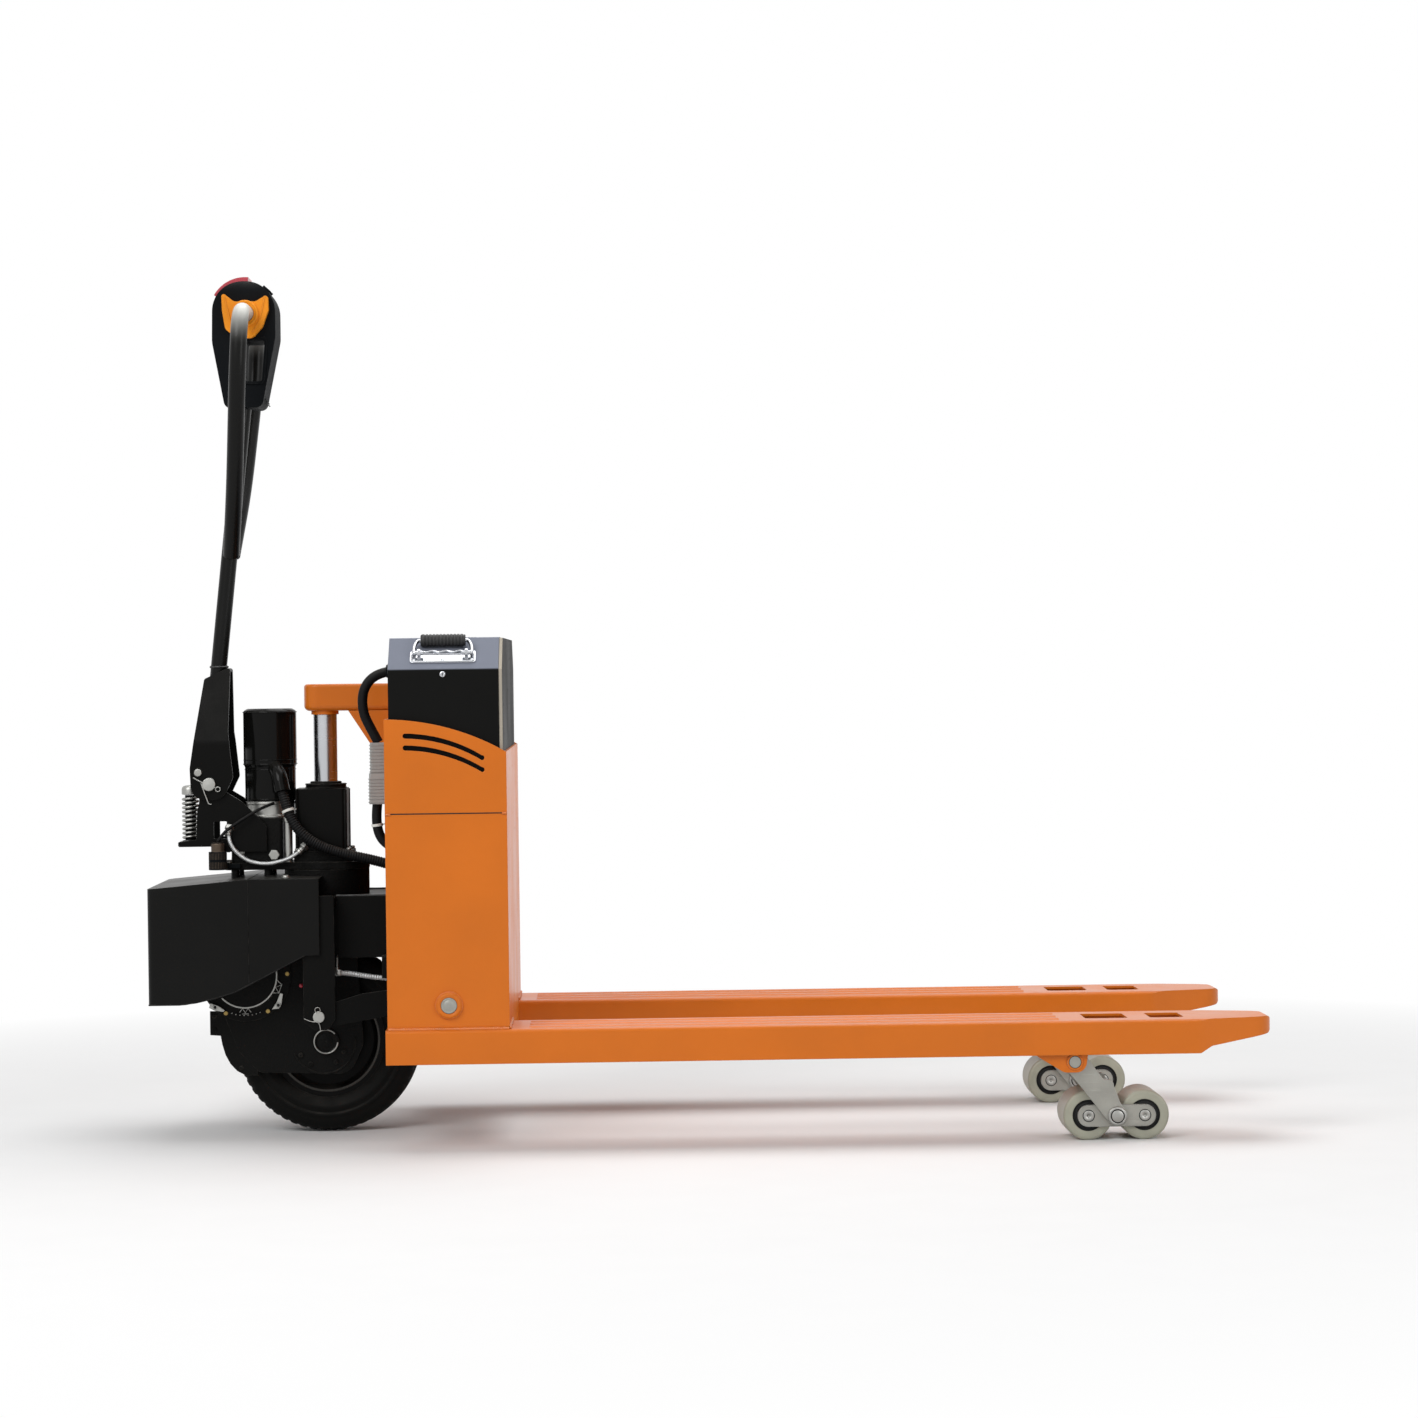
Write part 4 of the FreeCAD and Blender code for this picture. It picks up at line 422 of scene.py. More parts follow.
def make_finishes():
    s = finish_settings()
    dusty = s.dust
    FINISHES.update(
        enamel=material("orange enamel", s.enamel, 0.34, coat=0.08, shine=0.22, worn=s.enamel_edge, wear=0.7,
                        blotch=0.05, grain=0.03, grain_scale=260, dust=0.35 * dusty, scuff=0.05),
        black=material("black enamel", s.black, 0.42, coat=0.02, shine=0.05, worn=paint(92, 90, 86), wear=0.5,
                       blotch=0.15, grain=0.03, grain_scale=420, dust=dusty, scuff=0.12),
        hood=material("hood enamel", s.black, 0.36, coat=0.03, shine=0.09, worn=paint(84, 82, 80), wear=0.45,
                      blotch=0.18, grain=0.03, grain_scale=300, dust=0.7 * dusty, scuff=0.2),
        casting=material("painted casting", s.casting, 0.55, shine=0.08, worn=paint(96, 92, 86), wear=0.5,
                         blotch=0.2, grain=0.16, grain_scale=240, dust=dusty),
        gloss=material("gloss black", s.black, 0.16, coat=0.13, shine=0.04, worn=paint(70, 70, 70), wear=0.2,
                       blotch=0.1, grain=0.015, grain_scale=300, dust=0.4 * dusty),
        plastic=material("moulded plastic", s.plastic, 0.58, shine=0.03, worn=paint(66, 66, 66), wear=0.3,
                         blotch=0.1, grain=0.06, dust=0.5 * dusty),
        rubber=material("lead rubber", s.rubber, 0.48, shine=0.1, blotch=0.12, grain=0.03, grain_scale=500,
                        dust=0.8 * dusty, scuff=0.2),
        tyre=material("tyre rubber", s.tyre, 0.6, shine=0.06, blotch=0.15, grain=0.05, grain_scale=500,
                      dust=0.8 * dusty, scuff=0.3, worn=paint(58, 56, 52), wear=0.4),
        zinc=material("zinc plate", s.zinc, 0.36, metal=1.0, worn=paint(205, 205, 200), wear=0.5,
                      blotch=0.1, scale=30, grain=0.03, lines=(700.0, 500.0, 60.0)),
        chrome=material("bright chrome", s.chrome, 0.14, metal=1.0, blotch=0.05, grain=0.01,
                        grain_scale=200, scuff=0.05, spread=0.03),
        ram=material("hard chrome", s.chrome, 0.22, metal=1.0, blotch=0.06, grain=0.01,
                     lines=(60.0, 60.0, 2500.0), scuff=0.08, spread=0.04),
        roller=material("cast polyurethane", s.roller, 0.4, blotch=0.12, scale=26, grain=0.03,
                        grain_scale=300, scuff=0.25, dust=0.3, worn=paint(148, 142, 128), wear=0.6),
        grey=material("grey plastic", s.grey, 0.5, blotch=0.1, grain=0.04, grain_scale=700, dust=dusty),
        red=material("red plastic", s.red, 0.3, coat=0.4, blotch=0.06, scuff=0.08),
        amber=material("amber plastic", s.amber, 0.36, coat=0.05, shine=0.14, grain=0.03, scuff=0.08,
                       worn=paint(244, 184, 92), wear=0.3),
        brass=material("dull brass", s.brass, 0.4, metal=1.0, blotch=0.12, grain=0.03, scale=60),
        tie=material("nylon tie", s.tie, 0.45, blotch=0.04, scuff=0.05, dust=0.2),
        grip=material("grip rubber", s.rubber, 0.55, blotch=0.1, grain=0.05, grain_scale=700,
                      dust=0.6 * dusty),
        braid=material("braided steel", s.braid, 0.38, metal=0.85, blotch=0.14, scale=80, grain=0.12,
                       lines=(1500.0, 1500.0, 1500.0)),
        brown=material("aged nickel", s.brown, 0.42, metal=0.6, blotch=0.2, scale=50, grain=0.05,
                       worn=paint(128, 112, 92), wear=0.7),
        worn_steel=material("worn plated steel", s.worn_steel, 0.42, metal=0.7, worn=paint(206, 204, 198),
                            wear=0.6, blotch=0.16, scale=22, grain=0.05, lines=(500.0, 400.0, 70.0),
                            scuff=0.3, dust=0.3),
        rim=material("polished rim", s.rim, 0.3, metal=0.8, blotch=0.12, scale=30),
        # The case's upward faces are painted an even light blue-grey: part dust, part painted sky sheen standing in
        # for the light falling on them.
        case=material("case enamel", s.black, 0.45, coat=0.02, shine=0.06, worn=paint(80, 80, 82), wear=0.4,
                      blotch=0.12, grain=0.03, grain_scale=500, dust=0.69,
                      dust_and_sheen_tint=(0.45, 0.49, 0.61), even=0.72),
        # The tiller tube's finish has a painted highlight that lightens the top of its bend between the two heights
        # given below.
        satin=material("satin tube enamel", s.black, 0.3, coat=0.05, shine=0.12, worn=paint(96, 96, 94),
                       wear=0.3, blotch=0.2, grain_scale=400, dust=0.5 * dusty, scuff=0.15,
                       highlight_heights=(1.308, 1.378)),
        strip=material("end strip", s.strip, 0.5, grain=0.04, grain_scale=700, shine=0.05,
                       front=s.black, dust=0.3 * dusty),
        # Flat near-black used as painted shade in slots, holes, gaps, grooves and recesses.
        soot=material("unlit inside", paint(12, 12, 12), 0.8, blotch=0.1, grain=0.05),
        weld=material("painted weld", s.enamel, 0.34, coat=0.3, blotch=0.12, scale=60, grain=0.12,
                      grain_scale=300, worn=s.enamel_edge, wear=0.5),
        black_weld=material("painted black weld", s.black, 0.4, coat=0.3, blotch=0.2, scale=60,
                            grain=0.12, grain_scale=300, worn=paint(90, 90, 88), wear=0.4),
    )


NODE_FINISH = {
    "enamel": "fork_left fork_right roller_brackets tower_frame battery_holder lift_arm",
    "case": "battery_case",
    "satin": "tiller_frame",
    "black": "carrier_frame rocker_levers rocker_cranks push_rod_left push_rod_right "
             "lift_cylinder tiller_clevis tiller_bracket wheel_rim",
    "hood": "drive_hood",
    "casting": "bearing_ring drive_frame drive_motor base_casting pump_block wheel_axle",
    "gloss": "pump_motor",
    "plastic": "battery_cells motor_controller wire_gland control_head raise_key lower_key",
    "rubber": "battery_lead supply_lead motor_harness head_hoses",
    "tyre": "drive_tyre",
    "zinc": "hanger_pins tiller_pin pump_fittings",
    "worn_steel": "rocker_shaft yoke_pins yoke_left yoke_right bogie_left bogie_right",
    "chrome": "case_fittings tiller_spring case_handle_left case_handle_right",
    "ram": "lift_ram",
    "roller": "roller_left_rear roller_left_front roller_right_rear roller_right_front",
    "grey": "lead_fittings",
    "strip": "case_end_strip",
    "red": "belly_button",
    "amber": "thumb_switch",
    "brass": "motor_screws",
}


def coat_nodes():
    for key, names in NODE_FINISH.items():
        for name in names.split():
            slots = NODES[name].data.materials
            slots.clear()
            slots.append(FINISHES[key])


def placed(name, data, body=None):
    """A new object in the scene, riding on a body if one is given."""
    made = bpy.data.objects.new(name, data)
    bpy.context.scene.collection.objects.link(made)
    if body:
        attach(made, body)
    return made


# ---------------------------------------------------------------- studio
class TRUCK_OT_studio(bpy.types.Operator):
    """Floor, pale backdrop, soft lamps and the camera"""
    bl_idname = "truck.studio"
    bl_label = "Studio"

    def execute(self, context):
        settings = studio_settings()
        make_camera(settings)
        make_floor(settings)
        make_sky(settings)
        lamp("key lamp", (-2.6, -3.6, 3.4), 2.6, settings.key_power)
        lamp("fill lamp", (3.2, -3.4, 1.8), 2.2, settings.fill_power)
        lamp("top lamp", (0.2, 0.6, 3.6), 3.0, settings.top_power)
        return {"FINISHED"}


def make_camera(settings):
    data = bpy.data.cameras.new("camera")
    data.lens = settings.lens
    data.sensor_width = 36.0
    camera = placed("camera", data)
    tilt, roll, pan = settings.camera_turn
    turn = Matrix.Rotation(pan, 4, "Z") @ Matrix.Rotation(math.pi / 2 + tilt, 4, "X")
    turn = turn @ Matrix.Rotation(roll, 4, "Z")
    camera.matrix_world = Matrix.Translation(Vector(settings.camera_place)) @ turn
    bpy.context.scene.camera = camera


def make_floor(settings):
    half = 14.0
    corners = [(-half, -half, 0), (half, -half, 0), (half, half, 0), (-half, half, 0)]
    mesh = bpy.data.meshes.new("floor")
    mesh.from_pydata(corners, [], [(0, 1, 2, 3)])
    floor = placed("floor", mesh)
    made = bpy.data.materials.new("studio floor")
    made.use_nodes = True
    graph = Graph(made.node_tree)
    place = graph.place()
    grain = graph.noise(place, 9.0, 5.0)
    tint = graph.mix(grain, dim(settings.floor, 0.97), dim(settings.floor, 1.0))
    plain = graph.add("ShaderNodeBsdfPrincipled", {"Base Color": tint, "Roughness": 0.85})
    far = graph.add("ShaderNodeVectorMath", {0: place}, operation="LENGTH").outputs["Value"]
    fade = graph.times(graph.remap(far, 1.3, 2.6), graph.seen())
    white = graph.add("ShaderNodeEmission", {"Strength": 1.0})
    blend = graph.add("ShaderNodeMixShader", {0: fade, 1: plain.outputs[0], 2: white.outputs[0]})
    graph.add("ShaderNodeOutputMaterial", {0: blend.outputs[0]})
    mesh.materials.append(made)


def make_sky(settings):
    world = bpy.data.worlds.new("studio sky")
    world.use_nodes = True
    bpy.context.scene.world = world
    graph = Graph(world.node_tree)
    strength = graph.remap(graph.seen(), 0.0, 1.0, settings.sky, 1.0)
    light = graph.add("ShaderNodeBackground", {"Color": (1, 1, 1, 1), "Strength": strength})
    graph.add("ShaderNodeOutputWorld", {0: light.outputs[0]})


def lamp(name, place, width, watts):
    data = bpy.data.lights.new(name, "AREA")
    data.shape = "SQUARE"
    data.size = width
    data.energy = watts
    made = placed(name, data)
    made.location = place
    aim = Vector((-0.1, 0.0, 0.5)) - Vector(place)
    made.rotation_euler = aim.to_track_quat("-Z", "Y").to_euler()


class TRUCK_OT_finishes(bpy.types.Operator):
    """Paint, plating, plastic and rubber on the built pieces"""
    bl_idname = "truck.finishes"
    bl_label = "Finishes"

    def execute(self, context):
        make_finishes()
        coat_nodes()
        return {"FINISHED"}


# ---------------------------------------------------------------- mesh tools
def piece(name, bm, finish, body, angle=34):
    """An object from a bmesh, with its finish, riding on a body unless it is blended later."""
    bmesh.ops.recalc_face_normals(bm, faces=bm.faces)
    mesh = bpy.data.meshes.new(name)
    bm.to_mesh(mesh)
    bm.free()
    mesh.shade_smooth()
    mesh.set_sharp_from_angle(angle=math.radians(angle))
    mesh.materials.append(FINISHES[finish])
    return placed(name, mesh, body)


def turned(name, finish, body, profile, place, along, steps=48, angle=34, **more):
    """A piece of one turned shape."""
    bm = bmesh.new()
    spun(bm, profile, place, along, steps, **more)
    return piece(name, bm, finish, body, angle)


def join_rings(bm, rings, closed=False):
    """Faces between rings of corners; the ends are capped unless the rings close on themselves."""
    pairs = list(zip(rings, rings[1:]))
    if closed:
        pairs.append((rings[-1], rings[0]))
    for a, b in pairs:
        for k in range(len(a)):
            bm.faces.new((a[k - 1], a[k], b[k], b[k - 1]))
    if not closed:
        bm.faces.new(rings[0])
        bm.faces.new(rings[-1])


def axes(along):
    """A direction and two directions across it."""
    along = Vector(along).normalized()
    side = along.orthogonal().normalized()
    return along, side, along.cross(side)


def spun(bm, profile, place, along, steps=48, closed=False, ripple=None):
    """A turned shape: (radius, distance) pairs in millimetres about an axis through place."""
    along, side, other = axes(along)
    rings = []
    for radius, reach in profile:
        ring = []
        for k, turn in enumerate(turns(steps)):
            r = radius + (ripple(k, radius, reach) if ripple else 0)
            out = side * math.cos(turn) + other * math.sin(turn)
            ring.append(bm.verts.new(place + (along * reach + out * r) / 1000))
        rings.append(ring)
    join_rings(bm, rings, closed)


def hoop(bm, inner, outer, low, high, place, along, steps):
    """A ring of square section, in millimetres."""
    spun(bm, [(inner, low), (outer, low), (outer, high), (inner, high)], place, along, steps, closed=True)


def swept(bm, line, radius, sides=12, closed=False, swell=None):
    """A round bar along points; swell gives what is added to its radius at a distance along it."""
    count = len(line)
    rings = []
    along, side, _ = axes(line[1] - line[0])
    run = 0.0
    for i in range(count):
        if closed:
            new = (line[(i + 1) % count] - line[i - 1]).normalized()
        else:
            new = (line[min(i + 1, count - 1)] - line[max(i - 1, 0)]).normalized()
        side = (along.rotation_difference(new) @ side).normalized()
        along = new
        run += (line[i] - line[i - 1]).length if i else 0.0
        r = radius + (swell(run) if swell else 0.0)
        other = along.cross(side)
        outs = [side * math.cos(turn) + other * math.sin(turn) for turn in turns(sides)]
        rings.append([bm.verts.new(line[i] + out * r) for out in outs])
    join_rings(bm, rings, closed)


def plate(bm, outline, place, right, up, thick, chamfer=0.0):
    """A flat plate from corners (a, b) in millimetres along right and up, with bevelled rims."""
    right, up = Vector(right).normalized(), Vector(up).normalized()
    out = right.cross(up)
    middle_a = sum(a for a, _ in outline) / len(outline)
    middle_b = sum(b for _, b in outline) / len(outline)
    rings = []
    for reach, inset in ((0, 0), (thick - chamfer, 0), (thick, chamfer)):
        ring = []
        for a, b in outline:
            far = math.hypot(a - middle_a, b - middle_b) or 1.0
            scale = 1 - inset / far
            u, v = middle_a + (a - middle_a) * scale, middle_b + (b - middle_b) * scale
            ring.append(bm.verts.new(place + (right * u + up * v + out * reach) / 1000))
        rings.append(ring)
    join_rings(bm, rings)


def outline_of(radius, count):
    """The corners of a regular outline."""
    return [(radius * math.cos(turn), radius * math.sin(turn)) for turn in turns(count)]


def bolt(bm, place, along, radius, height):
    """A hexagon head on its washer."""
    along, side, up = axes(along)
    low = radius * 0.16
    washer = [(radius * 0.5, 0), (radius * 1.25, 0), (radius * 1.25, low * 0.7), (radius * 1.18, low),
              (radius * 0.5, low)]
    spun(bm, washer, place, along, 28)
    plate(bm, outline_of(radius, 6), place + along * low / 1000, side, up, height, radius * 0.12)


def socket_screw(bm, place, along, radius, height):
    """A cap screw with the raised edge of its hexagon socket."""
    along, side, up = axes(along)
    plate(bm, outline_of(radius, 24), place, side, up, height, radius * 0.12)
    socket = [(radius * 0.5, height), (radius * 0.62, height), (radius * 0.58, height + 0.5),
              (radius * 0.5, height + 0.5)]
    spun(bm, socket, place, along, 6, closed=True)


def round_edge(corners, shares):
    """Points at shares of each side of a closed outline."""
    return [a.lerp(b, t) for a, b in zip(corners, corners[1:] + corners[:1]) for t in shares]


def weld_bead(bm, points, radius):
    """A weld bead whose rolls follow one another along straight runs."""
    line = []
    for a, b in zip(points, points[1:]):
        steps = max(2, int((b - a).length / 0.0009))
        line += [a.lerp(b, k / steps) for k in range(steps)]
    line.append(points[-1])
    pitch = radius * 1.1

    def rolls(run):
        return 0.16 * radius * math.sin(math.tau * run / pitch) + 0.07 * radius * math.sin(run * 310)

    swept(bm, line, radius, 10, swell=rolls)


def nurbs(name, route):
    """A smooth curve that runs along its control points, in metres."""
    curve = bpy.data.curves.new(name, "CURVE")
    curve.dimensions = "3D"
    spline = curve.splines.new("NURBS")
    spline.points.add(len(route) - 1)
    for point, place in zip(spline.points, route):
        point.co = (*place, 1.0)
    spline.order_u = 3
    spline.use_endpoint_u = True
    spline.resolution_u = 40
    curve.resolution_u = 40
    return curve


def line_of(route):
    """The points of a route's smooth line."""
    holder = bpy.data.objects.new("route", nurbs("route", route))
    mesh = bpy.data.meshes.new_from_object(holder)
    line = [v.co.copy() for v in mesh.vertices]
    curve = holder.data
    bpy.data.objects.remove(holder)
    bpy.data.curves.remove(curve)
    bpy.data.meshes.remove(mesh)
    return line


def line_length(line):
    return sum((b - a).length for a, b in zip(line, line[1:]))


def place_on(line, share_along):
    """The place and direction at a share of a line's length."""
    want = share_along * line_length(line)
    for a, b in zip(line, line[1:]):
        step = (b - a).length
        if want <= step:
            return a.lerp(b, want / step), (b - a).normalized()
        want -= step
    return line[-1], (line[-1] - line[-2]).normalized()


def drawn(name, curve, radius, roundness, finish, body):
    """A curve as a round bar with its finish, riding on a body."""
    curve.bevel_depth = radius
    curve.bevel_resolution = roundness
    curve.materials.append(FINISHES[finish])
    return placed(name, curve, body)


def lead(name, route, radius, finish, body, with_pieces=()):
    """A smooth lead along a route."""
    curve = nurbs(name, route)
    curve.use_fill_caps = True
    made = drawn(name, curve, radius, 6, finish, body)
    line_length(line_of(route))
    return made


def tie(name, line, share_along, radius, body):
    """A nylon tie pulled round a lead, with its lock and cut tail."""
    width = detail_settings().tie_width * 1000
    place, along = place_on(line, share_along)
    r = radius * 1000
    bm = bmesh.new()
    hoop(bm, r, r + 1.3, -width / 2, width / 2, place, along, 32)
    side = along.cross(Vector((0, 1, 0))).normalized()
    up = along.cross(side)
    lock = [(-2.6, -2.4), (2.6, -2.4), (2.6, 2.4), (-2.6, 2.4)]
    plate(bm, lock, place - up * (r + 0.4) / 1000, along, side, 3.4, 0.4)
    tail = [(-1.2, 0), (1.2, 0), (0.8, 13), (-0.8, 13)]
    plate(bm, tail, place - up * (r + 2.2) / 1000, along, side, 0.9, 0.2)
    return piece(name, bm, "tie", body)


def bent_wire(name, points, radius, finish, body, cyclic=False):
    """A rigid wire bent smoothly through control points."""
    curve = nurbs(name, points)
    spline = curve.splines[0]
    if cyclic:
        spline.use_endpoint_u = False
        spline.use_cyclic_u = True
    curve.use_fill_caps = not cyclic
    curve.resolution_u = spline.resolution_u = 12
    return drawn(name, curve, radius, 3, finish, body)


# ---------------------------------------------------------------- routes
LEAD_RADIUS = 0.008
BATTERY_ROUTE = [at(*p) for p in (
    (126, -200, 770), (102, -200, 768), (78, -200, 744), (76, -200, 706), (90, -200, 676), (102, -200, 654))]
SUPPLY_ROUTE = [at(*p) for p in (
    (99, -200, 554), (95, -200, 522), (108, -200, 488), (152, -200, 472), (202, -200, 470), (258, -200, 474))]
HARNESS_ROUTE = [at(*p) for p in (
    (-68, -60, 572), (-61, -65, 543), (-45, -71, 510), (-14, -71, 483), (30, -69, 467), (74, -67, 458),
    (110, -66, 448), (136, -66, 438))]
HOSE_ROUTE = [at(*p) for p in (
    (-157, -52, 514), (-160, -60, 500), (-152, -62, 477), (-128, -61, 456), (-98, -61, 450.5),
    (-70, -60, 455), (-46, -56, 466), (-32, -50, 480))]
WIRE_ROUTE = [at(*p) for p in (
    (-84, -42, 552), (-101, -54, 546), (-124, -62, 533), (-148, -66, 518), (-168, -68, 503),
    (-176, -68.5, 489.5))]


class TRUCK_OT_battery_leads(bpy.types.Operator):
    """The battery lead, the supply lead and the ribbed connector between them"""
    bl_idname = "truck.battery_leads"
    bl_label = "Battery leads"

    def execute(self, context):
        upper, lower = line_of(BATTERY_ROUTE), line_of(SUPPLY_ROUTE)
        ties = [tie("supply_tie_%d" % n, lower, share_along, LEAD_RADIUS, "chassis")
                for n, share_along in enumerate((0.16, 0.42))]
        first = lead("battery_conduit", BATTERY_ROUTE, LEAD_RADIUS, "rubber", "chassis")
        second = lead("supply_conduit", SUPPLY_ROUTE, LEAD_RADIUS, "rubber", "chassis", ties)
        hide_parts("battery_lead")
        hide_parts("supply_lead")
        gland_ring(BATTERY_ROUTE[0], (-1, 0, 0))
        connector_ribs()
        return {"FINISHED"}


def gland_ring(place, out):
    """The nut of the lead's gland, with its flats and a seal lip."""
    profile = [(8.6, 0.6), (14.6, 0.6), (15.4, 2.0), (15.4, 5.2), (14.6, 6.4), (11.6, 7.0), (10.4, 9.5),
               (8.6, 10.2)]
    turned("lead_gland", "plastic", "chassis", profile, place, out, 12, angle=20, closed=True)


def connector_ribs():
    """Finger ribs and latch lines round the connector's two halves."""
    bm = bmesh.new()
    corner = 3.2
    for low, high, half_x, half_y, x in ((606.5, 650, 13.3, 19.3, 102), (557, 600, 15.3, 21.3, 102)):
        z = low
        while z < high:
            ring = []
            for right, left, first in ((1, 1, 0), (-1, 1, 90), (-1, -1, 180), (1, -1, 270)):
                for turn in (math.radians(first + 30 * step) for step in range(4)):
                    px = right * (half_x - corner) + corner * math.cos(turn)
                    py = left * (half_y - corner) + corner * math.sin(turn)
                    ring.append(at(x + px, LEAD_Y + py, z))
            swept(bm, ring, 0.0011, 8, closed=True)
            z += 5.4
    piece("connector_ribs", bm, "grey", "chassis")


class TRUCK_OT_head_leads(bpy.types.Operator):
    """The ribbed motor harness, the oil hose and the sensor wire"""
    bl_idname = "truck.head_leads"
    bl_label = "Drive head leads"

    def execute(self, context):
        ribbed_harness()
        hose = lead("oil_hose", HOSE_ROUTE, 0.0036, "braid", "drive_head", hose_ends())
        wire = lead("sensor_wire", WIRE_ROUTE, 0.0026, "rubber", "drive_head")
        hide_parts("head_hoses")
        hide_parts("head_hoses")
        return {"FINISHED"}


def ribbed_harness():
    """A corrugated conduit; its ribs follow the smooth line of its route."""
    line = line_of(HARNESS_ROUTE)
    pitch = detail_settings().rib_pitch
    radius = 0.0088

    def ribs(run):
        wave = math.sin(math.tau * run / pitch)
        return 0.00075 * (wave if wave > -0.5 else -0.5) - 0.0004

    bm = bmesh.new()
    swept(bm, line, radius, 20, swell=ribs)
    conduit = piece("motor_conduit", bm, "rubber", None, angle=60)
    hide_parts("motor_harness")
    ties = [tie("harness_tie", line, 0.13, 0.0092, "drive_head")]
    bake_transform(conduit)


def hose_ends():
    """Crimped sleeves and union nuts at both ends of the oil hose."""
    line = line_of(HOSE_ROUTE)
    made = []
    ends = (("upper", line[0], line[1] - line[0]), ("lower", line[-1], line[-2] - line[-1]))
    for name, place, along in ends:
        bm = bmesh.new()
        sleeve = [(3.7, 6), (5.6, 6), (6.0, 7), (6.0, 9.5), (5.4, 10.2), (5.4, 12), (6.0, 12.8), (6.0, 16),
                  (5.2, 17.5), (3.7, 17.5)]
        spun(bm, sleeve, place, along, 28, closed=True)
        along, side, up = axes(along)
        plate(bm, outline_of(8.2, 6), place - along * 0.001, side, up, 6.5, 0.8)
        made.append(piece("hose_end_" + name, bm, "zinc", "drive_head"))
    return made


class TRUCK_OT_spring(bpy.types.Operator):
    """The tiller's return spring: ten bright coils round a black core of painted shade, under a domed cap"""
    bl_idname = "truck.spring"
    bl_label = "Tiller spring"

    def execute(self, context):
        low, high, x, wire = 489.0, 583.0, -228.0, 2.2
        coils, reach, cap, steps = 10.2, 12.3, 17, 480
        line = []
        for k in range(steps + 1):
            turn = math.tau * coils * k / steps
            rise = low + wire + 0.2 + (high - cap - low - 2 * wire) * k / steps
            line.append(at(x + reach * math.cos(turn), reach * math.sin(turn), rise))
        bm = bmesh.new()
        swept(bm, line, wire / 1000, 12)
        dome = [(0.5, high - 16), (13.2, high - 16), (14.4, high - 15), (14.4, high - 7), (13.6, high - 4),
                (11.5, high - 1.8), (8.0, high - 0.6), (0.5, high)]
        spun(bm, dome, at(x, 0, 0), UP, 48)
        coiled = piece("return_spring", bm, "zinc", "drive_head")
        # The black core is painted shade: it fills the inside of the spring so the far coils don't show between the
        # near ones.
        profile = [(0.5, low), (9.6, low), (9.6, low + 2), (9.0, low + 3), (9.0, high - cap),
                   (0.5, high - cap)]
        inner_shade = turned("spring_inner_shade", "black", "drive_head", profile, at(x, 0, 0), UP, 40)
        for made in (coiled, inner_shade):
            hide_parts("tiller_spring")
            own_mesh(made)
        return {"FINISHED"}


# ---------------------------------------------------------------- battery case
CASE_SLOPE = math.atan2(51.0, 62.0)
HANDLE_X = 213.5


def on_slope(side, x, up, out):
    """A point on the case's sloping face: up the slope and out of it, in millimetres."""
    y = up * math.cos(CASE_SLOPE) - out * math.sin(CASE_SLOPE) - CASE_Y
    z = up * math.sin(CASE_SLOPE) + out * math.cos(CASE_SLOPE) + CASE_FOLD_Z
    return at(x, -side * y, z)


class TRUCK_OT_handles(bpy.types.Operator):
    """The case's two folding handles on their sprung base plates"""
    bl_idname = "truck.handles"
    bl_label = "Case handles"

    def execute(self, context):
        for name, side in SIDES:
            folding_handle(name, side)
            sprung_base(name, side)
        return {"FINISHED"}


def folding_handle(name, side):
    """A bright bail with rounded shoulders and a ribbed black grip."""
    path = [(-31, 31, 9), (-43, 31, 9), (-46.5, 31, 9), (-46.5, 40, 9.4), (-45, 50, 10.2), (-40.5, 60, 10.8),
            (-34, 60, 10.8)]
    ends = [on_slope(side, HANDLE_X + a, b, c) for a, b, c in path]
    others = [on_slope(side, HANDLE_X - a, b, c) for a, b, c in reversed(path)]
    bail = bent_wire("bail_" + name, ends + others, 0.0031, "chrome", "handle_" + name)
    profile = [(3.3, -36), (8.0, -36), (9.4, -35)]
    for x in (-33 + 5.6 * k for k in range(12)):
        profile += [(10.2, x), (10.2, x + 3.0), (9.1, x + 3.7), (9.1, x + 4.9)]
    profile += [(9.4, 35), (8.0, 36), (3.3, 36)]
    grip = turned("bail_grip_" + name, "grip", "handle_" + name, profile, on_slope(side, HANDLE_X, 60, 10.8),
                  ALONG, 36, angle=50, closed=True)
    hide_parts("case_handle_" + name)
    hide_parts("case_handle_" + name)


def sprung_base(name, side):
    """The wavy strip that holds the bail down, its rivets and the case's lock."""
    bm = bmesh.new()
    line = []
    for k in range(61):
        x = -44 + 88 * k / 60
        line.append(on_slope(side, HANDLE_X + x, 41 + 1.6 * math.sin(k / 60 * math.tau * 4), 3.4))
    swept(bm, line, 0.0018, 8)
    rim = [(-50, 17), (50, 17), (50, 36), (-50, 36)]
    corners = [on_slope(side, HANDLE_X + a, b, 2.3) for a, b in rim]
    swept(bm, round_edge(corners, (0.06, 0.5, 0.94)), 0.0013, 8, closed=True)
    out = (on_slope(side, 0, 0, 10) - on_slope(side, 0, 0, 0)).normalized()
    for a, b in ((-46, 21), (46, 21), (0, 21)):
        spun(bm, [(0.3, 2.0), (3.0, 2.0), (2.7, 3.0), (1.6, 3.7), (0.3, 3.9)],
             on_slope(side, HANDLE_X + a, b, 0), out, 20)
    piece("handle_base_" + name, bm, "chrome", "chassis")
    lock = [(2.2, 1), (4.9, 0), (4.9, 1.4), (4.5, 2.3), (3.6, 2.8), (2.2, 2.9)]
    turned("case_lock_" + name, "chrome", "chassis", lock, at(HANDLE_X, side * CASE_Y, 764), (0, side, 0), 28,
           closed=True)
    # The key slot is a thin near-black plate: painted shade inside the slot.
    bm = bmesh.new()
    slot = [(-0.7, -2), (0.7, -2), (0.7, 2), (-0.7, 2)]
    plate(bm, slot, at(HANDLE_X, side * (CASE_Y + 2.7), 764), ALONG, UP, 0.4)
    piece("case_key_slot_" + name, bm, "soot", "chassis")


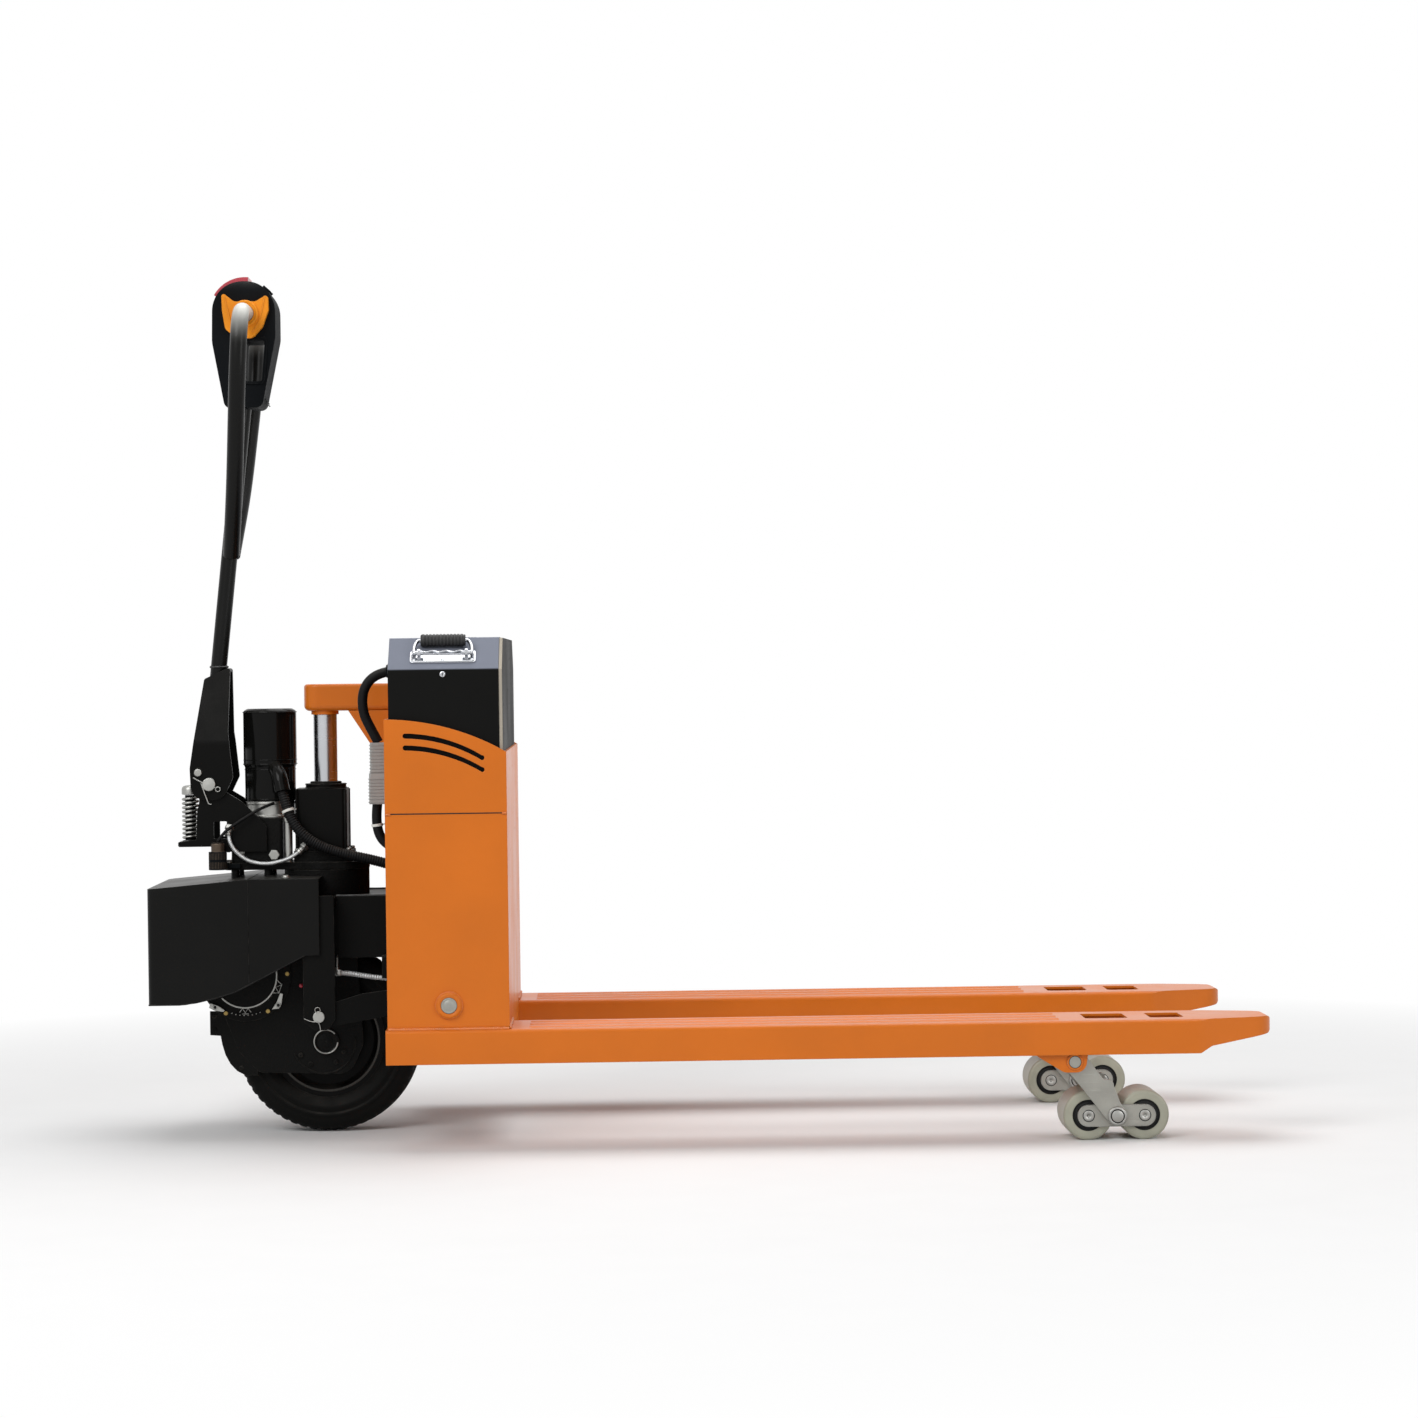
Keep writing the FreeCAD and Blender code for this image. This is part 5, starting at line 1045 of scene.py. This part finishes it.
# ---------------------------------------------------------------- welds
class TRUCK_OT_welds(bpy.types.Operator):
    """Weld beads of the load side and of the drive head"""
    bl_idname = "truck.welds"
    bl_label = "Welds"

    def execute(self, context):
        r = detail_settings().weld
        bm = bmesh.new()
        for _, s in SIDES:
            weld_bead(bm, [at(119.5, s * 335.6, 197), at(313.5, s * 335.6, 197)], r)
            weld_bead(bm, [at(313.6, s * 335, 198), at(313.6, s * 189, 198)], r * 0.9)
            for first, last in ((119.6, 128), (306, 313.6)):
                weld_bead(bm, [at(x, s * 335.3, TOWER_SEAM_Z) for x in (first, last)], r * 0.7)
            weld_bead(bm, [at(119, s * 31, 706), at(119, s * 31, 748)], r * 0.8)
            ring = upright_arc(SHAFT_X, s * (TOWER_Y + 0.4), SHAFT_Z, 20.4, turns(90))
            weld_bead(bm, ring + ring[:1], r * 0.75)
        weld_bead(bm, [at(119, -31, 749), at(119, 31, 749)], r * 0.8)
        piece("load_side_welds", bm, "weld", "chassis", angle=80)
        for name, s in SIDES:
            # The seam is a thin near-black line: painted shade in the groove of the seam.
            bm = bmesh.new()
            seam = [at(x, s * y, TOWER_SEAM_Z + 0.5)
                    for x, y in ((128, TOWER_Y), (214, TOWER_Y + 0.1), (306, TOWER_Y))]
            swept(bm, seam, 0.0009, 8)
            piece("tower_seam_" + name, bm, "soot", "chassis")
        bm = bmesh.new()
        for _, s in SIDES:
            weld_bead(bm, [at(-26, s * 145, 398), at(18, s * 145, 398)], r * 0.9)
            weld_bead(bm, [at(22, s * 98, 399), at(183, s * 98, 399)], r * 0.6)
        piece("carriage_welds", bm, "black_weld", "carriage", angle=80)
        bm = bmesh.new()
        for _, s in SIDES:
            weld_bead(bm, [at(-236, s * 46, 490), at(-226, s * 46, 490)], r * 0.7)
            weld_bead(bm, [at(-183, s * 45.4, 473), at(-158, s * 45.4, 473)], r * 0.7)
        piece("clevis_welds", bm, "black_weld", "drive_head", angle=80)
        bm = bmesh.new()
        for z, x in ((781, -176.5), (975, -153)):
            ring = level_arc(x, z, 14, turns(60))
            weld_bead(bm, ring + ring[:1], r * 0.6)
        piece("shaft_welds", bm, "black_weld", "tiller", angle=80)
        return {"FINISHED"}


# ---------------------------------------------------------------- drive wheel
class TRUCK_OT_tyre(bpy.types.Operator):
    """The drive wheel's moulded tyre and the lip ring of its rim"""
    bl_idname = "truck.tyre"
    bl_label = "Drive wheel"

    def execute(self, context):
        settings = detail_settings()
        count, depth = settings.tread_count, settings.tread_depth * 1000
        half = [(96, 38), (99, 42), (103, 45.6), (108, 47), (111, 49.2), (115, 49.4), (118, 47.6),
                (122, 47.2), (124.5, 49.2), (127, 49.3), (130, 46.6), (135, 45.8), (141, 43.5), (146, 40), (150, 35),
                (152.6, 29), (153.8, 23), (152.2, 20), (152.2, 17), (154.3, 15), (154.8, 6), (154.9, 3)]
        profile = [(r, -y) for r, y in half] + [(r, y) for r, y in reversed(half)]

        def tread(k, radius, reach):
            if radius < 143 or abs(reach) < 5:
                return 0.0
            shift = k + (3 if reach > 0 else 0)
            return -depth * min(1.0, (radius - 143) / 6) if shift % 6 < 2 else 0.0

        wheel = at(0, 0, WHEEL_Z)
        tyre = turned("drive_tyre_moulded", "tyre", "drive_wheel", profile, wheel, (0, 1, 0), count * 6,
                      closed=True, ripple=tread)
        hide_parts("drive_tyre")
        bm = bmesh.new()
        for _, s in SIDES:
            hoop(bm, 84, 88, 37.2, 38.6, wheel, (0, s, 0), 96)
        piece("rim_lip", bm, "rim", "drive_wheel")
        return {"FINISHED"}


class TRUCK_OT_axle(bpy.types.Operator):
    """Axle ends with their open rings, motor ring and cover screws of the drive unit"""
    bl_idname = "truck.axle"
    bl_label = "Drive unit"

    def execute(self, context):
        for name, s in SIDES:
            axle_end(name, s)
        motor_ring()
        cheek_screws()
        return {"FINISHED"}


def axle_end(name, s):
    """A stepped axle end, its open retaining ring and its centre mark."""
    y = s * 76.2
    bm = bmesh.new()
    open_ring = [math.radians(40 + 320 * k / 73) for k in range(73)]
    swept(bm, upright_arc(0, y, WHEEL_Z, 19.6, open_ring), 0.0013, 8)
    piece("axle_ring_" + name, bm, "zinc", "drive_head")
    face = [(1, -3.4), (1, -3.0), (3, -2.9), (11.6, -2.9), (12.2, -3.1), (13.0, -2.9), (15.8, -2.9),
            (16.6, -3.6)]
    turned("axle_face_" + name, "casting", "drive_head", face, at(0, y, WHEEL_Z), (0, s, 0))


def arc_band(bm, radius, wide, first, last, y, thick, steps=60):
    """A flat curved band on the motor's face, between two angles in degrees."""
    rings = []
    for k in range(steps + 1):
        turn = math.radians(first + (last - first) * k / steps)
        across = Vector((math.cos(turn), 0, math.sin(turn)))
        ring = []
        for r, out in ((radius, 0), (radius, thick), (radius + wide, thick), (radius + wide, 0)):
            ring.append(bm.verts.new(at(MOTOR_X, y - out, MOTOR_Z) + across * r / 1000))
        rings.append(ring)
    join_rings(bm, rings)


def motor_ring():
    """The bright ring on the motor's cover, with its braces, teeth and two clips."""
    bm = bmesh.new()
    arc_band(bm, 51.6, 2.4, -137, 8, -77.1, 1.0)
    centre = at(MOTOR_X, -77.4, MOTOR_Z)
    outward = (0, -1, 0)

    def polar(degrees, radius):
        a = math.radians(degrees)
        return centre + Vector((math.cos(a), 0, math.sin(a))) * radius / 1000

    for teeth in (((-99, 61), (-95, 54), (-90, 61), (-85, 54), (-81, 61)),
                  ((-32, 54), (-27, 63), (-21, 54), (-14, 63), (-8, 54))):
        swept(bm, [polar(d, r) for d, r in teeth], 0.0009, 6)
        swept(bm, [polar(d, 63) for d in (teeth[0][0] + 4, teeth[-1][0] - 4)], 0.0008, 6)
    for k in range(8):
        place = polar(-110 + 6 * k, 65.5) + Vector((0, 0.0036, 0))
        spun(bm, [(0.2, 0), (1.0, 0), (1.0, 3.6), (0.6, 4.0), (0.2, 4.0)], place, outward, 10)
    for clip in (((-58, -44), (-60, -52), (-50, -57), (-36, -59), (-34, -56), (-46, -48)),
                 ((44, -56), (56, -55), (60, -48), (63, -30), (58, -29), (52, -44))):
        plate(bm, clip, centre, ALONG, UP, 1.2, 0.3)
    eyes = [centre + Vector((a, -1.3, b)) / 1000 for a, b in ((-50, -51), (55, -49))]
    for eye in eyes:
        hoop(bm, 2.6, 4.2, 0, 1.0, eye, outward, 20)
    piece("motor_cover_ring", bm, "zinc", "drive_head")
    # Near-black discs in the clips' eyes: painted shade in the holes.
    bm = bmesh.new()
    for eye in eyes:
        spun(bm, [(0.2, 0.1), (2.6, 0.1), (2.6, 0.5), (0.2, 0.5)], eye, outward, 20)
    piece("motor_clip_eyes", bm, "soot", "drive_head")
    cap = [(0.2, 0), (3.4, 0), (3.4, 2.0), (2.4, 3.4), (0.2, 4.0)]
    turned("motor_red_cap", "red", "drive_head", cap, at(-40, -76.5, 249), outward, 24)
    bm = bmesh.new()
    flank = [(-193, 207), (-193, 168), (-176, 167), (-173, 151), (-168, 134), (-160, 119), (-149, 107),
             (-134, 99), (-114, 99), (-114, 207)]
    plate(bm, flank, at(0, -60, 0), ALONG, UP, 6.8, 1.0)
    for x, z in ((-186, 199), (-186, 176), (-142, 112)):
        socket_screw(bm, at(x, -66.6, z), outward, 3.6, 3)
    piece("motor_flank", bm, "casting", "drive_head")


def cheek_screws():
    """Cap screws of the gear case cover and its cast rim."""
    bm = bmesh.new()
    for _, s in SIDES:
        angles = [math.radians(turn) for turn in (-150, -118, -54, -22)]
        for place in upright_arc(-8, s * 67, 152, 40, angles):
            socket_screw(bm, place, (0, s, 0), 4.2, 3.4)
    piece("gear_case_screws", bm, "casting", "drive_head")
    bm = bmesh.new()
    for _, s in SIDES:
        line = upright_arc(-4, s * 67.2, 153, 52, [math.radians(-160 + 170 * k / 50) for k in range(51)])
        swept(bm, line, 0.0016, 8)
    piece("gear_case_rib", bm, "casting", "drive_head")


class TRUCK_OT_pins(bpy.types.Operator):
    """Split rings, spring wires and washers on the hanger, tiller and lift pins"""
    bl_idname = "truck.pins"
    bl_label = "Pins and rings"

    def execute(self, context):
        for name, s in SIDES:
            y = s * 157.6
            ring = upright_arc(-6.6, y, 215, 4.6, turns(8))
            bent_wire("hanger_ring_" + name, ring, 0.0007, "zinc", "carriage", cyclic=True)
            wire = [at(x, y, z) for x, z in ((-29, 201), (-24, 198.6), (-15, 195.4), (-7, 196), (-2.6, 190),
                                             (-2, 179))]
            bent_wire("hanger_wire_" + name, wire, 0.0008, "zinc", "carriage")
            tiller_pin_ring(name, s)
            shaft_end(name, s)
        guard_pipe()
        return {"FINISHED"}


def guard_pipe():
    """A ribbed pipe under the guide, hung from a bright hook and a tab."""
    y = -124
    line = line_of([at(x, y, z) for x, z in ((27, 273), (44, 272), (66, 268), (88, 264.5), (106, 263))])

    def ribs(run):
        return 0.0005 * math.sin(math.tau * run / 0.004)

    bm = bmesh.new()
    swept(bm, line, 0.0042, 14, swell=ribs)
    piece("guard_pipe", bm, "braid", "carriage", angle=60)
    bm = bmesh.new()
    hook = [at(24, a, b) for a, b in ((-100.5, 300), (-110, 299), (-119, 296), (-123, 290), (y, 280))]
    swept(bm, hook, 0.0018, 10)
    spun(bm, [(1, -4), (5.4, -4), (6.0, -3), (6.0, 4), (5.0, 6), (1, 6)], at(25, y, 273.2), ALONG, 24)
    spun(bm, [(1, 0), (3.6, 0), (3.6, 8), (1, 8)], at(24, y, 274), UP, 20)
    piece("guard_hook", bm, "zinc", "carriage")
    bm = bmesh.new()
    plate(bm, [(-6, 0), (6, 0), (6, 36), (-6, 36)], at(104, -127, 263), ALONG, UP, 2.4, 0.3)
    plate(bm, [(-6, -3), (6, -3), (6, 27), (-6, 27)], at(104, -126.5, 298), ALONG, (0, 1, 0), 2.4, 0.3)
    piece("guard_tab", bm, "black", "carriage")


def tiller_pin_ring(name, s):
    """The clip through the tiller pin: a ring at one end, two legs and a riveted stud."""
    y = s * 62.9
    ring = upright_arc(-175, y, 577, 4.2, turns(8))
    bent_wire("tiller_ring_" + name, ring, 0.0009, "zinc", "tiller", cyclic=True)
    leg = [at(-179, y, 579), at(-190, s * 64.2, 585.5), at(-202, y, 588.4), at(-216, y, 597)]
    bent_wire("tiller_clip_" + name, leg, 0.001, "zinc", "tiller")
    leg = [at(x, y, z) for x, z in ((-203, 588), (-198, 573), (-191.4, 555), (-190.4, 552.6), (-186, 551.8))]
    bent_wire("tiller_leg_" + name, leg, 0.001, "zinc", "tiller")
    stud = [(1, -0.6), (6.4, -0.6), (6.4, 0.5), (5.6, 1.3), (1, 1.6)]
    turned("tiller_stud_" + name, "zinc", "tiller", stud, at(-208, s * 62, 605), (0, s, 0), 32)
    face = [(7, 0), (11.2, 0), (11.2, 1.0), (10.2, 2.0), (1, 2.6), (1, 2.6)]
    turned("tiller_pin_face_" + name, "zinc", "drive_head", face, at(-190, s * 62.4, 585), (0, s, 0), 40)


def shaft_end(name, s):
    """The rocker shaft's turned end in its welded boss."""
    place, out = at(SHAFT_X, s * 342.2, SHAFT_Z), (0, s, 0)
    face = [(1, 0), (1, 0.2), (8.2, 0.2), (9.0, -0.3), (10.4, -0.4), (10.8, -1.4)]
    turned("shaft_face_" + name, "worn_steel", "rocker", face, place, out)
    # A near-black ring between the shaft's face and its boss: painted shade in the gap.
    bm = bmesh.new()
    hoop(bm, 10.8, 13.0, -1.3, -0.7, place, out, 48)
    piece("shaft_gap_" + name, bm, "soot", "rocker")
    boss = [(13.2, -4), (14.0, -1.0), (16.0, 0.2), (18.2, 0.3), (20.2, -1.4), (21.4, -5)]
    turned("shaft_boss_" + name, "enamel", "chassis", boss, at(SHAFT_X, s * 341.6, SHAFT_Z), out, 56,
           closed=True)


# ---------------------------------------------------------------- pump side
class TRUCK_OT_pump(bpy.types.Operator):
    """Bands, studs, plugs and the knurled gland round the pump and the cylinder"""
    bl_idname = "truck.pump"
    bl_label = "Pump unit"

    def execute(self, context):
        pump_sleeve()
        pump_studs()
        knurled_gland()
        cylinder_collar()
        return {"FINISHED"}


def pump_sleeve():
    """The sleeve's rolled rims, its seam and the rim of its domed top."""
    bm = bmesh.new()
    rims = ((44.6, 617, 1.1), (44.6, 624, 0.8), (44.6, 704, 1.0), (42.7, 558.5, 0.9), (42.7, 608, 0.8))
    for radius, z, thick in rims:
        swept(bm, level_arc(PUMP_X, z, radius, turns(72)), thick / 1000, 8, closed=True)
    dome = [(0.5, 709.6), (22, 709.6), (25, 710), (27, 709.6), (33, 709.4), (36, 709.9), (37, 708)]
    spun(bm, dome, at(PUMP_X, 0, 0), UP, 64)
    piece("pump_sleeve_rims", bm, "gloss", "drive_head")
    bm = bmesh.new()
    band = [(39.2, 528), (41.2, 528), (41.2, 531), (40, 532), (40, 549), (41.2, 550), (41.2, 554),
            (39.2, 554)]
    spun(bm, band, at(PUMP_X, 0, 0), UP, 72, closed=True)
    for place in level_arc(PUMP_X, 527.5, 36, [math.radians(turn) for turn in (-125, -55, 60, 125)]):
        bolt(bm, place, UP, 3.6, 4.5)
    piece("pump_clamp_band", bm, "zinc", "drive_head")


def pump_studs():
    """Plugs, valves and cap screws on the pump block and on the base casting."""
    bm = bmesh.new()
    for x, z, r in ((-140, 500, 6.5), (-140, 470, 5.0), (-108, 505, 5.0)):
        for _, s in SIDES:
            bolt(bm, at(x, s * 45, z), (0, s, 0), r, 4.2)
    bolt(bm, at(-84, 45, 466), (0, 1, 0), 8, 6)
    for x, y in ((-46, -42), (-46, 42), (40, -42), (40, 42)):
        socket_screw(bm, at(x, y, 471), UP, 4.2, 4.6)
    for y in (-43, 43):
        bolt(bm, at(-160, y, 453), UP, 5.4, 4.4)
    piece("pump_block_plugs", bm, "zinc", "drive_head")
    bm = bmesh.new()
    for z in (480, 520, 560):
        swept(bm, [at(-48.3, -41.6, z), at(-48.3, 41.6, z)], 0.0008, 6)
    for x in (-48.2, 36.2):
        for y in (-42.2, 42.2):
            swept(bm, [at(x * 0.965, y * 0.965, z) for z in (474, 573)], 0.0026, 10)
    piece("cylinder_corners", bm, "casting", "drive_head")


def knurled_gland():
    """The brown gland: a knurled nut, its neck and clamping ring."""

    def knurl(k, radius, reach):
        return 0.55 if k % 2 and radius > 14 else 0.0

    profile = [(4, 443.4), (13.4, 443.4), (14.6, 445), (14.6, 456), (13.2, 457.5), (13.2, 459), (14.6, 460.5),
               (14.6, 471), (13.4, 472.6), (10.9, 473.4), (10.9, 486), (9.8, 489), (4, 489)]
    turned("knurled_gland_nut", "brown", "drive_head", profile, at(-176, -68.5, 0), UP, 72, angle=20,
           closed=True, ripple=knurl)


def cylinder_collar():
    """The lift cylinder's bevelled cap, its wiper lip and bleed screw."""
    bm = bmesh.new()
    lip = [(20.4, 583.2), (25.6, 583.2), (26.4, 584), (26.4, 585.6), (24.6, 586.6), (20.4, 586.9)]
    spun(bm, lip, at(0, 0, 0), UP, 64, closed=True)
    for z in (576.2, 582):
        swept(bm, level_arc(0, z, 34.2, turns(64)), 0.0009, 8, closed=True)
    piece("cylinder_cap_rims", bm, "casting", "drive_head")
    bm = bmesh.new()
    bolt(bm, at(30, 0, 560), ALONG, 4.6, 4)
    piece("cylinder_screws", bm, "zinc", "drive_head")


class TRUCK_OT_hood(bpy.types.Operator):
    """The hood's folded rims, creases and cap screws"""
    bl_idname = "truck.hood"
    bl_label = "Drive hood"

    def execute(self, context):
        bm = bmesh.new()
        for _, s in SIDES:
            swept(bm, [at(-118, s * 160, z) for z in (430.4, 262)], 0.0007, 6)
            rim = [at(x, s * 158.9, z) for x, z in ((-283, 226.8), (-232, 226.8), (-205, 230), (-172, 237.4),
                                                    (-140, 247), (-27, 304.6))]
            swept(bm, rim, 0.0013, 8)
        swept(bm, [at(-118, -159, 431), at(-118, 159, 431)], 0.0007, 6)
        piece("hood_folds", bm, "hood", "drive_head")
        bm = bmesh.new()
        screw = [(0.4, 0.2), (8.5, 0.2), (8.5, 1.2), (6.0, 1.4), (5.6, 3.4), (3.6, 4.4), (0.4, 4.6)]
        for _, s in SIDES:
            for x, y, z in ((-150, 90, 424), (-60, 110, 431)):
                spun(bm, screw, at(x, s * y, z), UP, 28)
        piece("hood_screws", bm, "zinc", "drive_head")
        return {"FINISHED"}


# ---------------------------------------------------------------- control head
class TRUCK_OT_control_head(bpy.types.Operator):
    """Seams, hub rings and key rims of the control head"""
    bl_idname = "truck.control_head"
    bl_label = "Control head"

    def execute(self, context):
        hub = [(14.6, 0), (21.6, 0), (22.2, 0.8), (22.2, 2.8), (21.2, 3.8), (18.6, 3.8), (17.8, 2.6),
               (14.6, 2.6)]
        bm = bmesh.new()
        for _, s in SIDES:
            spun(bm, hub, at(HUB_X, s * 63.6, HUB_Z), (0, s, 0), 56, closed=True)
            for sign in (-1, 1):
                ridge = [at(HUB_X + sign * a, s * 63.8, HUB_Z + b)
                         for a, b in ((33, 29), (30, 12), (24, -12), (12, -32))]
                swept(bm, ridge, 0.0013, 8)
        piece("thumb_hub_rings", bm, "amber", "thumb")
        bm = bmesh.new()
        for _, s in SIDES:
            window = [at(x, s * 50, z) for x, z in ((-131, 1253), (-90, 1253), (-83.5, 1329), (-127.5, 1329))]
            swept(bm, round_edge(window, (0.08, 0.36, 0.64, 0.92)), 0.0012, 8, closed=True)
        swept(bm, [at(-165, -49, 1300), at(-165, 49, 1300)], 0.0006, 6)
        for k in range(5):
            x, z = -91.6 + 0.9 * k, 1236 - 4 * k
            swept(bm, [at(x, -30, z + 0.1 * k), at(x, 30, z)], 0.0009, 6)
        piece("head_seams", bm, "plastic", "tiller")
        return {"FINISHED"}


# ---------------------------------------------------------------- load rollers
EAR_HEAD_Y = 71.5
ENDS = (("rear", -1), ("front", 1))


class TRUCK_OT_rollers(bpy.types.Operator):
    """Bearing covers, axle heads and pivot collars of the load rollers"""
    bl_idname = "truck.rollers"
    bl_label = "Load rollers"

    def execute(self, context):
        for name, s in SIDES:
            for end, way in ENDS:
                roller_covers(name + "_" + end, s * FORK_Y, BOGIE_X + way * BOGIE_HALF)
            link_heads(name, s * FORK_Y)
            yoke_heads(name, s * FORK_Y)
        return {"FINISHED"}


def roller_covers(name, y, x):
    """The bearing cover and seal in each end of a load roller, near-black as painted shade of the recess, and its
    mould lines.
    """
    seal = [(11.2, 43.9), (15, 43.9), (16, 44.9), (20.4, 44.9), (21.4, 43.9), (22.8, 43.9), (24.6, 46.0),
            (25.2, 46.35), (25.2, 43.6), (11.2, 43.6)]
    seals, lines = bmesh.new(), bmesh.new()
    for _, s in SIDES:
        spun(seals, seal, at(x, y, ROLLER_Z), (0, s, 0), 40, closed=True)
        swept(lines, upright_arc(x, y + s * 38, ROLLER_Z, 39.7, turns(72)), 0.0003, 6, closed=True)
    # The seals are near-black: painted shade in the roller's end recess.
    piece("roller_seals_" + name, seals, "soot", "load_roller_" + name)
    piece("roller_mould_lines_" + name, lines, "roller", "load_roller_" + name)


def link_heads(name, y):
    """Turned axle heads, flush with the link plates, and a ring of painted shade in the gap round each of them."""
    head = [(0.5, 52.4), (8.6, 52.4), (8.6, 52.7), (7.8, 52.85), (3.2, 52.85), (2.6, 52.6), (0.5, 52.6)]
    heads, gap_shade, rims = bmesh.new(), bmesh.new(), bmesh.new()
    for _, s in SIDES:
        rim = []
        for _, way in ENDS:
            x = BOGIE_X + way * BOGIE_HALF
            place = at(x, y, ROLLER_Z)
            spun(heads, head, place, (0, s, 0), 36)
            # Rings of painted shade in the gaps round the axle heads.
            hoop(gap_shade, 8.6, 9.9, 52.4, 52.65, place, (0, s, 0), 36)
            angles = [math.radians(15 * k - way * 90) for k in range(13)]
            rim += upright_arc(x, y + s * 52.45, ROLLER_Z, 17, angles)
        swept(rims, rim, 0.0004, 6, closed=True)
    piece("roller_axle_heads_" + name, heads, "zinc", "bogie_pair_" + name)
    piece("roller_axle_gap_shade_" + name, gap_shade, "soot", "bogie_pair_" + name)
    piece("roller_link_rims_" + name, rims, "zinc", "bogie_pair_" + name)


def yoke_heads(name, y):
    """The heads and collars of the bogie's pivot, and the collar round the head of the yoke's pin, with rings of
    painted shade in the gaps round the heads.
    """
    head = [(0.5, 61.9), (9.6, 61.9), (9.6, 64.0), (8.8, 64.4), (0.5, 64.6)]
    collar = [(11.2, 61.9), (15.6, 60.4), (15.6, 61.4), (14.4, 62.8), (11.6, 63.4), (11.2, 62.6)]
    heads, gap_shade = bmesh.new(), bmesh.new()
    for _, s in SIDES:
        place, out = at(BOGIE_X, y, ROLLER_Z), (0, s, 0)
        spun(heads, head, place, out, 36)
        spun(heads, collar, place, out, 40, closed=True)
        # A ring of painted shade in the gap round the pivot's head.
        hoop(gap_shade, 9.6, 11.2, 61.9, 62.4, place, out, 36)
    piece("bogie_pivot_heads_" + name, heads, "zinc", "bogie_pair_" + name)
    piece("bogie_pivot_gap_shade_" + name, gap_shade, "soot", "bogie_pair_" + name)
    collar = [(10.2, EAR_HEAD_Y - 1), (10.2, EAR_HEAD_Y + 0.3), (12.2, EAR_HEAD_Y + 0.3),
              (12.9, EAR_HEAD_Y - 0.6), (12.9, EAR_HEAD_Y - 2.4)]
    gap_shade, collars = bmesh.new(), bmesh.new()
    for _, s in SIDES:
        place, out = at(YOKE_X, y, YOKE_Z), (0, s, 0)
        # A ring of painted shade in the gap round the yoke pin's head.
        hoop(gap_shade, 9.2, 10.2, EAR_HEAD_Y, EAR_HEAD_Y + 0.3, place, out, 36)
        spun(collars, collar, place, out, 36, closed=True)
    piece("yoke_pin_gap_shade_" + name, gap_shade, "soot", "chassis")
    piece("yoke_pin_collars_" + name, collars, "enamel", "chassis")


STEPS = (
    TRUCK_OT_studio,
    TRUCK_OT_finishes,
    TRUCK_OT_battery_leads,
    TRUCK_OT_head_leads,
    TRUCK_OT_spring,
    TRUCK_OT_handles,
    TRUCK_OT_welds,
    TRUCK_OT_tyre,
    TRUCK_OT_axle,
    TRUCK_OT_pins,
    TRUCK_OT_pump,
    TRUCK_OT_hood,
    TRUCK_OT_control_head,
    TRUCK_OT_rollers,
)


class TRUCK_PT_panel(bpy.types.Panel):
    """The truck's settings and steps"""
    bl_label = "Pallet truck"
    bl_idname = "TRUCK_PT_panel"
    bl_space_type = "VIEW_3D"
    bl_region_type = "UI"
    bl_category = "Pallet truck"

    def draw(self, context):
        for step in STEPS:
            self.layout.operator(step.bl_idname)
        for settings in (finish_settings(), detail_settings(), studio_settings()):
            box = self.layout.box()
            for name in settings.__annotations__:
                box.prop(settings, name)


GROUPED = (TruckFinish, TruckDetail, TruckStudio)


def register():
    for item in GROUPED + STEPS + (TRUCK_PT_panel,):
        bpy.utils.register_class(item)
    bpy.types.Scene.truck_finish = bpy.props.PointerProperty(type=TruckFinish)
    bpy.types.Scene.truck_detail = bpy.props.PointerProperty(type=TruckDetail)
    bpy.types.Scene.truck_studio = bpy.props.PointerProperty(type=TruckStudio)


def unregister():
    del bpy.types.Scene.truck_finish
    del bpy.types.Scene.truck_detail
    del bpy.types.Scene.truck_studio
    for item in reversed(GROUPED + STEPS + (TRUCK_PT_panel,)):
        bpy.utils.unregister_class(item)


def main():
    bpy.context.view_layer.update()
    register()
    bpy.context.scene.view_settings.view_transform = "Standard"
    for step in STEPS:
        family, name = step.bl_idname.split(".")
        getattr(getattr(bpy.ops, family), name)()


if __name__ == "__main__":
    main()
